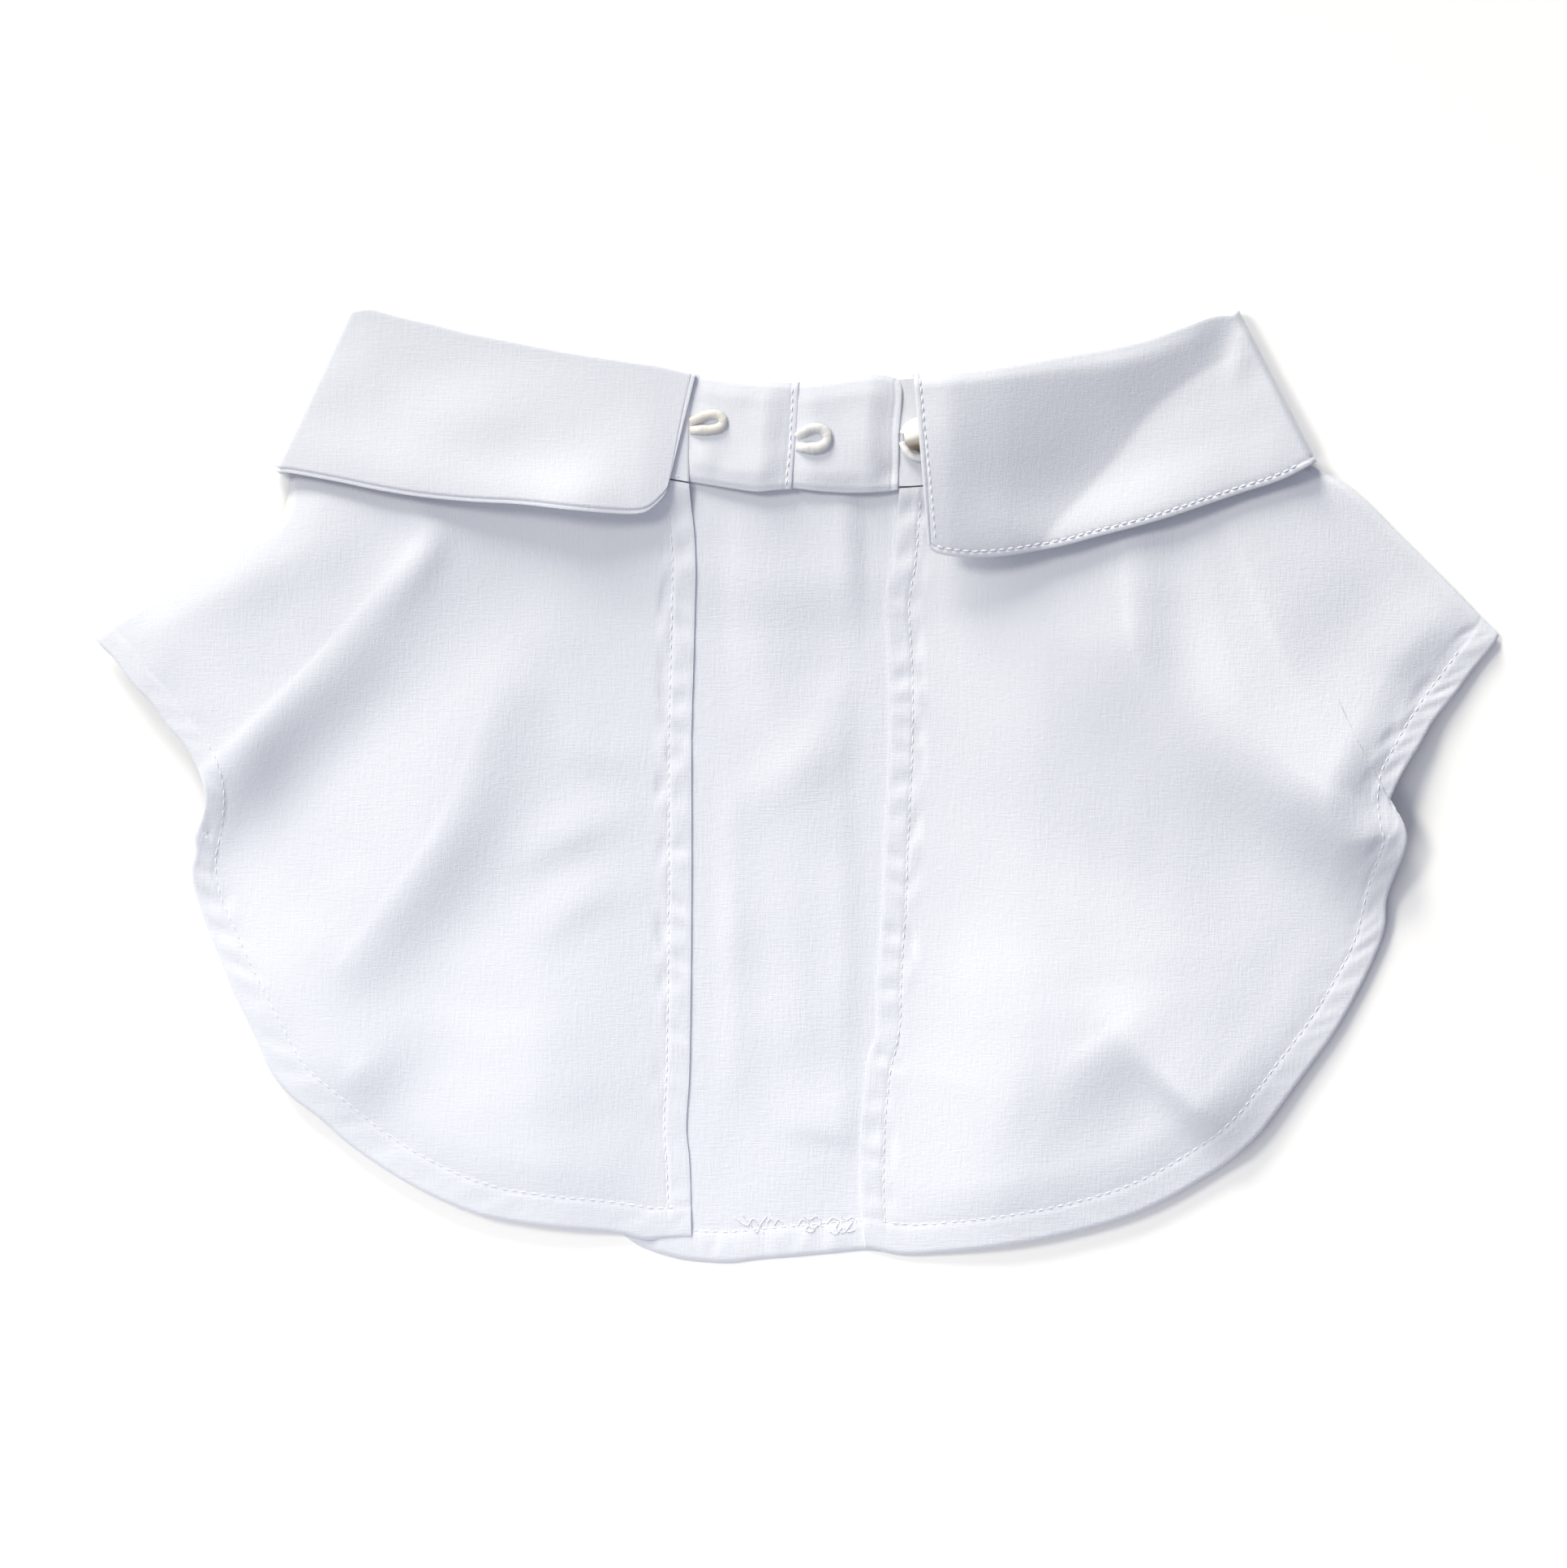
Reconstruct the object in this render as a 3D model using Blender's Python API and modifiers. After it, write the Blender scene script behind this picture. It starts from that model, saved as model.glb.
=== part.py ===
"""A detachable shirt collar (a dickey) laid flat with its back opening upwards.

X runs across the collar, +Y towards its top fold, +Z up out of the surface it
lies on. Lengths below are in millimetres and become metres where the meshes,
cords and the turned piece are made.
Every cloth piece is a sheet: a grid over its outline, raised to its layer and
its folds, then given its thickness.
"""

import math

import bmesh
import bpy
import numpy as np
from mathutils import Vector

# ---- driving dimensions, mm -------------------------------------------------
WALL = 1.0  # thickness of one layer of cloth
GAP = 0.3  # left between pieces at seams
CLOTH_STEP = WALL + GAP + 0.12  # from one layer's middle to the next's
FRONT_STAND_HEIGHT = 22.0  # the neck band at the front; 24.5 at the back
LEAF_DEPTH = 40.0  # the fall, from its top fold to its edge
FRONT_DROP = 1.0  # the front half lies this much lower, hidden by the back
CORD = 1.6  # button loop cord
PEARL_RADIUS, PEARL_HEIGHT = 3.7, 3.0
SHANK_RADIUS = 1.2

# heights of the middle of each layer above the table
FRONT_PANEL_Z = WALL / 2
BACK_PANEL_Z = FRONT_PANEL_Z + CLOTH_STEP
MID_Z = 3.1  # plane the collar is folded flat about
LEAF_H, STAND_H = 2.6, 1.05  # fall and band, each side of that plane
UNDER_Z, OVER_Z = 3.35, 4.75  # ends of the band and extender that lap

TURN_R = LEAF_H  # half-turn of the fall at the sides
ROLL_D = 0.775  # half-width of the roll at the top fold
ROLL_START = WALL / 2 + ROLL_D
STAND_TOP = ROLL_START + GAP + 0.25
SEAM = GAP + 0.1  # from the band's seam to the edge of a panel

# ---- outlines, one row a station, mm ---------------------------------------
# top fold of the collar, left to right: x, y
TOP_FOLD = (
    (-98.5, 106.0),
    (-88.9, 105.1),
    (-74.4, 101.6),
    (-59.8, 98.7),
    (-45.3, 96.2),
    (-30.7, 94.0),
    (-22.4, 92.0),
    (-8.9, 90.5),
    (2.0, 90.2),
    (12.9, 91.1),
    (26.7, 92.2),
    (42.0, 93.5),
    (56.5, 95.6),
    (71.1, 98.2),
    (85.6, 102.7),
    (97.0, 105.3),
)
# lower edge of the fall, left side, from the side fold to the opening: x, y
LEAF_EDGE_LEFT = (
    (-115.7, 69.6),
    (-102.5, 67.5),
    (-84.2, 64.2),
    (-61.8, 62.5),
    (-41.5, 60.5),
    (-34.7, 60.7),
    (-31.1, 63.3),
    (-28.5, 67.1),
)
# lower edge of the fall, right side, from the opening to the side fold: x, y
LEAF_EDGE_RIGHT = (
    (29.5, 53.1),
    (33.3, 51.8),
    (39.8, 50.7),
    (52.9, 52.0),
    (67.1, 55.3),
    (83.5, 59.6),
    (99.6, 65.1),
    (114.7, 71.1),
)
# neck seam at the back, from the side fold to the opening: x, y
NECK_LEFT = (
    (-109.1, 83.9),
    (-91.1, 80.3),
    (-71.1, 76.1),
    (-52.0, 72.4),
    (-33.5, 69.2),
    (-24.0, 67.6),
)
NECK_RIGHT = (
    (20.7, 66.6),
    (28.4, 66.9),
    (40.7, 68.7),
    (59.5, 71.5),
    (78.4, 74.9),
    (95.3, 79.9),
    (108.3, 83.5),
)
# shoulder, neck to tip: x, y
SHOULDER_LEFT = (
    (-109.0, 83.2),
    (-111.8, 75.8),
    (-113.5, 68.5),
    (-115.8, 58.9),
    (-122.7, 54.9),
    (-132.9, 49.1),
    (-142.7, 43.3),
    (-157.6, 33.6),
)
SHOULDER_RIGHT = (
    (108.0, 82.8),
    (111.6, 76.5),
    (114.6, 72.0),
    (117.5, 69.9),
    (121.5, 67.6),
    (126.9, 64.0),
    (141.8, 49.1),
    (150.4, 40.4),
    (157.5, 33.3),
)
# armhole and hem, shoulder tip to opening: x, y
OUTER_LEFT = (
    (-157.6, 33.6),
    (-153.1, 28.5),
    (-144.5, 18.4),
    (-136.0, 7.5),
    (-132.2, -2.7),
    (-134.5, -11.3),
    (-135.5, -18.5),
    (-132.2, -31.3),
    (-125.8, -46.9),
    (-118.2, -64.4),
    (-107.1, -74.5),
    (-88.9, -88.2),
    (-67.1, -97.5),
    (-39.5, -100.7),
    (-23.5, -101.6),
)
OUTER_RIGHT = (
    (157.5, 33.3),
    (147.5, 20.0),
    (138.0, 5.5),
    (132.8, -3.0),
    (135.6, -8.0),
    (136.6, -12.4),
    (133.8, -20.7),
    (132.0, -29.5),
    (125.6, -46.9),
    (112.0, -67.3),
    (96.5, -84.7),
    (82.2, -93.5),
    (51.1, -103.5),
    (24.0, -105.6),
    (15.6, -104.0),
)
# opening edge, neck to hem: x, y
OPENING_LEFT = (
    (-24.0, 67.3),
    (-22.7, 55.6),
    (-23.0, 12.0),
    (-23.6, -44.7),
    (-24.7, -77.3),
    (-23.5, -101.6),
)
OPENING_RIGHT = (
    (21.0, 66.3),
    (21.8, 50.9),
    (20.0, 41.1),
    (21.1, 12.0),
    (19.3, -30.2),
    (18.0, -57.8),
    (14.9, -77.1),
    (14.9, -93.5),
    (15.6, -104.0),
)
# hem of the front panel where it hangs below the back, left to right: x, y
FRONT_HEM = (
    (-67.1, -96.9),
    (-45.0, -99.9),
    (-39.5, -101.2),
    (-34.9, -103.8),
    (-25.8, -106.5),
    (-14.7, -107.4),
    (-9.3, -106.7),
    (7.5, -105.3),
    (20.4, -105.0),
    (51.1, -102.9),
)

# ---- folds, one row a crease: start, middle and end of its crest (x, y), the
# height there, and how far it spreads to the left and right of its run --------
BACK_FOLDS = {
    # name: (start, middle, end, heights, spread_left, spread_right)
    "left_shoulder_roll": ((-98, 66), (-116, 44), (-144, 20), (2.0, 2.6, 0.8), 12, 11),
    "left_crest": ((-86, 56), (-108, 30), (-134, 4), (2.4, 4.2, 3.4), 13, 12),
    "left_second": ((-70, 20), (-82, -12), (-104, -40), (0.6, 2.2, 1.4), 12, 17),
    "left_hem_dent": ((-98, -62), (-90, -74), (-84, -84), (0.3, 1.3, 0.8), 7, 9),
    "right_plateau": ((68, 48), (74, 16), (108, -30), (1.6, 2.8, 2.0), 10, 22),
    "right_crest": ((92, 50), (109, 10), (134, -9), (1.8, 3.0, 3.0), 9, 9),
    "right_hem_crest": ((68, -52), (84, -70), (94, -82), (0.4, 1.6, 1.0), 8, 12),
    "right_shoulder_roll": ((112, 62), (128, 44), (146, 30), (1.2, 1.6, 0.6), 9, 12),
}
FRONT_FOLDS = {
    "gap_ridge": ((12, 60), (15, 50), (16, 40), (0.5, 0.9, 0.4), 5, 4),
    "gap_lower": ((0, -40), (2, -70), (6, -92), (0.2, 0.8, 0.3), 6, 5),
}
LEAF_FOLDS = {
    "right_side_crest": ((86, 96), (98, 86), (104, 72), (1.2, 2.6, 2.0), 16, 14),
    "right_low_crest": ((60, 58), (78, 66), (96, 70), (0.6, 1.0, 1.0), 9, 9),
    "left_side_crest": ((-98, 97), (-103, 88), (-108, 76), (0.5, 1.0, 0.8), 12, 16),
}
PEARL = (27.9, 77.5)  # centre of the button: x, y
# centre line of each button loop, root to root: x, y
LOOP_1 = (
    (-23.3, 81.2),
    (-20.7, 82.7),
    (-18.8, 83.8),
    (-16.9, 83.2),
    (-16.2, 81.8),
    (-16.6, 80.3),
    (-18.1, 79.2),
    (-20.7, 78.9),
    (-23.3, 79.2),
)
LOOP_2 = (
    (1.0, 77.8),
    (1.3, 79.0),
    (2.4, 80.0),
    (4.2, 80.4),
    (6.2, 79.8),
    (7.5, 78.4),
    (7.8, 76.5),
    (6.9, 75.2),
    (5.2, 74.4),
    (2.7, 74.4),
    (1.0, 75.0),
)
LOOP_3_RADIUS, LOOP_3_OPEN = 4.15, 20.0  # mm and degrees, round the shank


# ---- curves and sheets ----------------------------------------------------
def curve(rows, count):
    """count points at equal spacing along a smooth curve through the rows."""
    p = np.asarray(rows, float)
    if len(p) > 2:
        chord = np.sqrt(np.linalg.norm(np.diff(p, axis=0), axis=1))
        k = np.concatenate([[0.0], np.cumsum(chord)])
        slope = np.gradient(p, k, axis=0)
        fine = np.linspace(0.0, k[-1], 40 * len(p))
        i = np.clip(np.searchsorted(k, fine, side="right") - 1, 0, len(p) - 2)
        h = (k[i + 1] - k[i])[:, None]
        t = ((fine - k[i]) / h[:, 0])[:, None]
        p = (
            (2 * t**3 - 3 * t**2 + 1) * p[i]
            + (t**3 - 2 * t**2 + t) * h * slope[i]
            + (3 * t**2 - 2 * t**3) * p[i + 1]
            + (t**3 - t**2) * h * slope[i + 1]
        )
    run = np.concatenate([[0.0], np.cumsum(np.linalg.norm(np.diff(p, axis=0), axis=1))])
    at = np.linspace(0.0, run[-1], count)
    return np.stack([np.interp(at, run, p[:, a]) for a in range(p.shape[1])], axis=1)


def between(low, high, x):
    """0 below low, 1 above high, smooth between them."""
    t = np.clip((x - low) / (high - low), 0.0, 1.0)
    return t * t * (3 - 2 * t)


def higher(a, b, soft=0.25):
    """The higher of two surfaces, rounded where they cross."""
    h = np.clip(0.5 + 0.5 * (a - b) / soft, 0.0, 1.0)
    return b + (a - b) * h + soft * h * (1 - h)


def patch(top, bottom, left, right, across, down):
    """Grid of x, y over four edge curves that meet at their ends."""
    c0, c1 = curve(top, across), curve(bottom, across)
    d0, d1 = curve(left, down), curve(right, down)
    u = np.linspace(0, 1, across)[:, None, None]
    v = np.linspace(0, 1, down)[None, :, None]
    return (
        (1 - v) * c0[:, None]
        + v * c1[:, None]
        + (1 - u) * d0[None]
        + u * d1[None]
        - (1 - u) * (1 - v) * c0[0]
        - u * (1 - v) * c0[-1]
        - (1 - u) * v * c1[0]
        - u * v * c1[-1]
    )


def fold_height(x, y, folds):
    """Sum of the folds of a table at x, y."""
    total = np.zeros_like(x)
    for start, middle, end, heights, spread_left, spread_right in folds.values():
        crest = curve((start, middle, end), 25)
        level = np.interp(np.linspace(0, 2, 25), (0, 1, 2), heights)
        best = np.full(x.shape, 1e9)
        rise = np.zeros_like(x)
        for i in range(24):
            a, b = crest[i], crest[i + 1]
            ab = b - a
            t = np.clip(((x - a[0]) * ab[0] + (y - a[1]) * ab[1]) / (ab @ ab), 0, 1)
            dx, dy = x - a[0] - t * ab[0], y - a[1] - t * ab[1]
            side = ab[0] * dy - ab[1] * dx
            spread = np.where(side > 0, spread_left, spread_right)
            q = (dx * dx + dy * dy) / spread**2
            near = q < best
            best = np.where(near, q, best)
            rise = np.where(near, level[i] + t * (level[i + 1] - level[i]), rise)
        total += rise * np.exp(-best)
    return total


# ---- heights of the layers at x, y -------------------------------------------
def neck_y(x):
    """y of the back neck seam."""
    row = np.array(NECK_LEFT + NECK_RIGHT)
    return np.interp(x, row[:, 0], row[:, 1])


def front_leaf_y(x):
    """y of the hidden lower edge of the front fall."""
    rows = np.array([r[2:4] for r in leaf_ribs((2, 2, 33, 2)) if r[4] == math.pi])
    return np.interp(x, rows[:, 0], rows[:, 1])


def front_z(x, y):
    """Middle of the front panel: over the hidden front fall, then on the table."""
    above = y - front_leaf_y(x)
    z = FRONT_PANEL_Z + (CLOTH_STEP + 0.1) * between(-16.0, -2.5, above)
    z = z + (MID_Z - STAND_H - z) * between(6.0, 14.0, above)
    shown = between(-104, -84, y) * (1 - between(10.0, 17.0, np.abs(x + 1.5)))
    return z + fold_height(x, y, FRONT_FOLDS) * shown


def back_z(x, y):
    """Middle of the back panels."""
    below = neck_y(x) - y
    rise = 1 - between(0.0, 42.0, below)
    flat = 1 - between(0.0, 9.0, below)
    z = BACK_PANEL_Z + (stand_back_z(x) - BACK_PANEL_Z) * rise
    z = z + fold_height(x, y, BACK_FOLDS) * (1 - flat)
    return higher(z, front_z(x, y) + CLOTH_STEP)


def stand_back_z(x):
    """Middle of the back of the neck band: it laps over the extender's first
    section on the left, and under its second on the right."""
    base = MID_Z + STAND_H
    left = (OVER_Z - base) * between(-36.0, -25.0, x) * (x < 0)
    right = (UNDER_Z - base) * (1 - between(33.0, 48.0, x)) * (x > 0)
    return base + left + right


def leaf_back_z(x, y):
    """Middle of the back of the fall: above the band, the panels and the pearl."""
    z = higher(MID_Z + LEAF_H + 0 * x, stand_back_z(x) + CLOTH_STEP + 0.1)
    z = z + fold_height(x, y, LEAF_FOLDS) * between(1.0, 9.0, top_y(x) - y)
    z = higher(z, back_z(x, y) + CLOTH_STEP)
    spread = np.where(x > PEARL[0], 13.0, 20.0)
    pearl = 4.55 * np.exp(-(((x - PEARL[0] - 1.0) / spread) ** 2))
    pearl = pearl * np.exp(-(((y - PEARL[1]) / 11.0) ** 2))
    return z + pearl * (x > 0) * between(1.0, 8.0, top_y(x) - y)


def top_y(x):
    row = np.array(TOP_FOLD)
    return np.interp(x, row[:, 0], row[:, 1])


def section_z(x, left, right):
    """Middle of an extender section: low where it starts, high where it ends."""
    return UNDER_Z + (OVER_Z - UNDER_Z) * between(left, right, x)


# ---- the collar: ribs from the top fold outwards, all the way round -----------
def part_of_top(x0, x1):
    """Rows of the top fold from x0 to x1."""
    rows = [(x0, float(top_y(x0)))]
    rows += [r for r in TOP_FOLD if x0 + 2 < r[0] < x1 - 2]
    return rows + [(x1, float(top_y(x1)))]


def ribs(edge_left, edge_right, front_length, left_end, right_end, counts):
    """Root and tip of each rib and its turn angle, from the left end of the
    back round the front to the right end: rows of x0, y0, x1, y1, angle."""
    n_left, n_turn, n_front, n_right = counts
    first, last = TOP_FOLD[0], TOP_FOLD[-1]
    out = []
    top = curve(part_of_top(first[0], left_end), n_left)[::-1]
    tip = curve(edge_left, n_left)[::-1]
    out += [(*a, *b, 0.0) for a, b in zip(top, tip)]
    for k in range(1, n_turn):
        out.append((*first, *edge_left[0], math.pi * k / n_turn))
    top = curve(TOP_FOLD, n_front)
    for k, (x, y) in enumerate(top):
        f = k / (n_front - 1)
        drop = FRONT_DROP * math.sin(math.pi * f) ** 0.5
        a, b = np.array(edge_left[0]) - first, np.array(edge_right[-1]) - last
        way = a * (1 - between(0.0, 0.35, f)) + b * between(0.65, 1.0, f)
        way = way + np.array([0.0, -1.0]) * math.sin(math.pi * f) * 20
        reach = np.linalg.norm(a) + (front_length - np.linalg.norm(a)) * (
            math.sin(math.pi * f) ** 0.5
        )
        way = way / np.linalg.norm(way) * reach
        out.append((x, y - drop, x + way[0], y - drop + way[1], math.pi))
    for k in range(1, n_turn):
        out.append((*last, *edge_right[-1], math.pi - math.pi * k / n_turn))
    top = curve(part_of_top(right_end, last[0]), n_right)[::-1]
    tip = curve(edge_right, n_right)[::-1]
    out += [(*a, *b, 0.0) for a, b in zip(top, tip)]
    return out


def leaf_ribs(counts):
    return ribs(LEAF_EDGE_LEFT, LEAF_EDGE_RIGHT, LEAF_DEPTH, -22.4, 26.9, counts)


def turned(root, tip, angle, along, back_h, front_h):
    """Point at a distance along a rib, back_h or front_h from the middle plane,
    after turning round the rib by the angle."""
    way = (tip - root) / np.linalg.norm(tip - root)
    out = np.array([-way[1], way[0]])  # across the rib
    if out[0] * root[0] < 0:
        out = -out
    h = back_h if angle <= math.pi / 2 else front_h
    reach = min(back_h, TURN_R)
    p = root + way * along + out * math.sin(angle) * reach
    return (p[0], p[1], MID_Z + math.cos(angle) * h)


def leaf_points(down, roll, counts):
    """Grid of the fall: each rib runs from its edge up to the top fold and over
    it to the band."""
    grid = []
    for x0, y0, x1, y1, angle in leaf_ribs(counts):
        root, tip = np.array((x0, y0)), np.array((x1, y1))
        length = np.linalg.norm(tip - root)
        way = (tip - root) / length
        column = []
        for along in np.linspace(length, ROLL_START, down):
            x, y = root + way * along
            back_h = float(leaf_back_z(np.array(x), np.array(y))) - MID_Z
            column.append(turned(root, tip, angle, along, back_h, LEAF_H))
        x, y = root + way * ROLL_START
        high = float(leaf_back_z(np.array(x), np.array(y))) - MID_Z
        low = float(stand_back_z(np.array(x))) - MID_Z
        for k in range(1, roll + 1):
            a = math.pi * k / roll
            along = ROLL_START - ROLL_D * math.sin(a)
            f = (1 + math.cos(a)) / 2
            back_h = low + (high - low) * f
            front_h = STAND_H + (LEAF_H - STAND_H) * f
            column.append(turned(root, tip, angle, along, back_h, front_h))
        grid.append(column)
    return np.array(grid)


def stand_points(down, counts):
    """Grid of the neck band, from the neck seam up to the roll of the fall."""
    grid = []
    for x0, y0, x1, y1, angle in ribs(
        NECK_LEFT, NECK_RIGHT, FRONT_STAND_HEIGHT, -24.0, 20.7, counts
    ):
        root, tip = np.array((x0, y0)), np.array((x1, y1))
        length = np.linalg.norm(tip - root)
        back_h = float(stand_back_z(np.array(x0))) - MID_Z
        grid.append(
            [
                turned(root, tip, angle, along, back_h, STAND_H)
                for along in np.linspace(length, STAND_TOP, down)
            ]
        )
    return np.array(grid)


def raised(xy, height):
    """The grid of x, y with its height as z."""
    return np.concatenate([xy, height(xy[..., 0], xy[..., 1])[..., None]], axis=-1)


# ---- Blender objects ----------------------------------------------------------
def material(name, colour, roughness, metallic=0.0):
    m = bpy.data.materials.new(name)
    m.use_nodes = True
    shader = m.node_tree.nodes["Principled BSDF"]
    shader.inputs["Base Color"].default_value = (*colour, 1.0)
    shader.inputs["Roughness"].default_value = roughness
    shader.inputs["Metallic"].default_value = metallic
    m.diffuse_color = (*colour, 1.0)
    return m


def place(obj, collection, parent, mat):
    collection.objects.link(obj)
    obj.parent = parent
    obj.data.materials.append(mat)


def sheet(name, grid, thickness, collection, parent, mat):
    """A solid cloth piece: a plane grid bent to the points, then thickened."""
    across, down = grid.shape[:2]
    bm = bmesh.new()
    bmesh.ops.create_grid(bm, x_segments=across - 1, y_segments=down - 1, size=0.5)
    for v in bm.verts:
        i = round((v.co.x + 0.5) * (across - 1))
        j = round((v.co.y + 0.5) * (down - 1))
        v.co = Vector(grid[i, j] * 0.001)
    mesh = bpy.data.meshes.new(name)
    bm.to_mesh(mesh)
    bm.free()
    mesh.shade_smooth()
    obj = bpy.data.objects.new(name, mesh)
    place(obj, collection, parent, mat)
    shell = obj.modifiers.new("thickness", "SOLIDIFY")
    shell.thickness = thickness * 0.001
    shell.offset = 0.0
    shell.use_even_offset = True
    return obj


def cord(name, points, diameter, collection, parent, mat):
    """A loop of cord through the points."""
    line = bpy.data.curves.new(name, "CURVE")
    line.dimensions = "3D"
    line.bevel_depth = diameter / 2 * 0.001
    line.bevel_resolution = 2
    line.use_fill_caps = True
    spline = line.splines.new("POLY")
    spline.points.add(len(points) - 1)
    for point, (x, y, z) in zip(spline.points, points):
        point.co = (x * 0.001, y * 0.001, z * 0.001, 1.0)
    obj = bpy.data.objects.new(name, line)
    place(obj, collection, parent, mat)
    return obj


def turned_piece(name, profile, steps, collection, parent, mat):
    """A turned shape: the profile runs down its outer side, top to bottom."""
    mesh = bpy.data.meshes.new(name)
    bm = bmesh.new()
    verts = [bm.verts.new((r * 0.001, 0.0, z * 0.001)) for r, z in profile]
    for a, b in zip(verts, verts[1:]):
        bm.edges.new((a, b))
    bm.to_mesh(mesh)
    bm.free()
    obj = bpy.data.objects.new(name, mesh)
    place(obj, collection, parent, mat)
    screw = obj.modifiers.new("turn", "SCREW")
    screw.angle = 2 * math.pi
    screw.steps = steps
    screw.render_steps = steps
    screw.use_merge_vertices = True
    screw.merge_threshold = 1e-6
    screw.use_smooth_shade = True
    return obj


def main():
    for old in list(bpy.data.objects):
        bpy.data.objects.remove(old, do_unlink=True)
    collection = bpy.data.collections.new("detachable_shirt_collar")
    bpy.context.scene.collection.children.link(collection)
    root = bpy.data.objects.new("collar_frame", None)
    collection.objects.link(root)

    white = (0.86, 0.87, 0.90)
    shirting = {
        n: material(n, white, 0.85)
        for n in ("panel_cloth", "stand_cloth", "leaf_cloth", "extender_cloth")
    }
    cord_mat = material("loop_cord", (0.80, 0.78, 0.73), 0.7)
    pearl_mat = material("pearl", (0.88, 0.87, 0.84), 0.18)

    # front panel: ribs from the front neck seam outwards, just inside the back
    outer_left = [(x + 0.5, y + 0.1) for x, y in OUTER_LEFT[:-2] if y > -96]
    outer_right = [(x - 0.6, y + 0.1) for x, y in OUTER_RIGHT[:-2] if y > -96]
    outer = outer_left + list(FRONT_HEM) + outer_right[::-1]
    front_stand = stand_points(2, (9, 6, 17, 9))
    seam = front_stand[:, 0][np.abs(front_stand[:, 0, 2] - (MID_Z - STAND_H)) < 1e-6]
    neck = [(x, y - SEAM) for x, y in seam[1:-1, :2]]
    left = [(x + 0.6, y) for x, y in SHOULDER_LEFT[1:]]
    right = [(x - 0.6, y) for x, y in SHOULDER_RIGHT[1:]]
    neck = [(SHOULDER_LEFT[0][0] + 0.6, SHOULDER_LEFT[0][1] - 0.4)] + neck[1:-1]
    neck = neck + [(SHOULDER_RIGHT[0][0] - 0.6, SHOULDER_RIGHT[0][1] - 0.4)]
    outer[0], outer[-1] = left[-1], right[-1]
    grid = patch(neck, outer, [neck[0]] + left, [neck[-1]] + right, 40, 15)
    sheet("front_panel", raised(grid, front_z), WALL, collection, root, shirting["panel_cloth"])

    # back panels: ribs from the back neck seam outwards
    neck = [(x, y - SEAM) for x, y in NECK_LEFT]
    neck[0], neck[-1] = SHOULDER_LEFT[0], OPENING_LEFT[0]
    grid = patch(neck, OUTER_LEFT, SHOULDER_LEFT, OPENING_LEFT, 34, 17)
    sheet("back_panel_left", raised(grid, back_z), WALL, collection, root, shirting["panel_cloth"])
    neck = [(x, y - SEAM) for x, y in NECK_RIGHT][::-1]
    neck[0], neck[-1] = SHOULDER_RIGHT[0], OPENING_RIGHT[0]
    grid = patch(neck, OUTER_RIGHT, SHOULDER_RIGHT, OPENING_RIGHT, 36, 17)
    sheet("back_panel_right", raised(grid, back_z)[::-1], WALL, collection, root, shirting["panel_cloth"])

    # neck band and fall
    sheet("collar_stand", stand_points(3, (13, 6, 17, 13)), WALL, collection, root, shirting["stand_cloth"])
    sheet("collar_leaf", leaf_points(8, 4, (13, 6, 17, 14)), WALL, collection, root, shirting["leaf_cloth"])

    # neck extender, two sections that lap to the right
    top = ((-26.0, 91.4), (-18.0, 91.2), (-8.9, 90.0), (0.7, 89.8))
    bottom = ((-26.0, 68.4), (-22.8, 67.7), (-17.5, 66.6), (-9.5, 65.5), (-4.2, 65.8), (-1.0, 66.0))
    grid = patch(top, bottom, (top[0], bottom[0]), (top[-1], (-0.4, 72.9), bottom[-1]), 9, 5)
    z = lambda x, y: section_z(x, -19.0, -3.5)
    sheet("stand_extender_1", raised(grid, z), WALL, collection, root, shirting["extender_cloth"])
    top = ((-3.0, 89.6), (6.4, 90.2), (12.0, 91.2), (17.6, 91.6), (21.0, 90.6), (23.4, 89.0))
    bottom = ((-3.4, 66.4), (4.5, 65.6), (12.0, 65.1), (19.5, 65.4), (22.9, 65.7))
    grid = patch(top, bottom, (top[0], bottom[0]), (top[-1], (23.0, 78.0), bottom[-1]), 9, 5)
    z = lambda x, y: section_z(x, 5.0, 18.0)
    sheet("stand_extender_2", raised(grid, z), WALL, collection, root, shirting["extender_cloth"])

    # button loops
    rest = WALL / 2 + GAP + CORD / 2 + 0.08
    points = [(x, y, float(section_z(x, -19.0, -3.5)) + rest) for x, y in curve(LOOP_1, 17)]
    cord("button_loop_1", points, CORD, collection, root, cord_mat)
    points = [(x, y, float(section_z(x, 5.0, 18.0)) + rest) for x, y in curve(LOOP_2, 19)]
    cord("button_loop_2", points, CORD, collection, root, cord_mat)
    z = UNDER_Z + WALL / 2 + GAP + CORD / 2 + 0.05
    points = []
    for k in range(21):
        a = math.radians(180 - LOOP_3_OPEN / 2 - k * (360 - LOOP_3_OPEN) / 20)
        points.append(
            (PEARL[0] + 0.5 + LOOP_3_RADIUS * math.cos(a), PEARL[1] + LOOP_3_RADIUS * math.sin(a), z)
        )
    cord("button_loop_3", points, CORD, collection, root, cord_mat)

    # half-round pearl on its shank, turned about its own axis
    back = z + CORD / 2 + GAP
    foot = UNDER_Z + WALL / 2 + GAP
    dome = [
        (PEARL_RADIUS * math.sin(a), back + 0.35 + (PEARL_HEIGHT - 0.35) * math.cos(a))
        for a in np.linspace(0, math.pi / 2, 9)
    ]
    dome[0] = (0.0, dome[0][1])
    profile = dome + [(PEARL_RADIUS - 0.3, back), (SHANK_RADIUS, back), (SHANK_RADIUS, foot), (0.0, foot)]
    button = turned_piece("pearl_button", profile, 24, collection, root, pearl_mat)
    button.location = (PEARL[0] * 0.001, PEARL[1] * 0.001, 0.0)


main()
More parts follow.
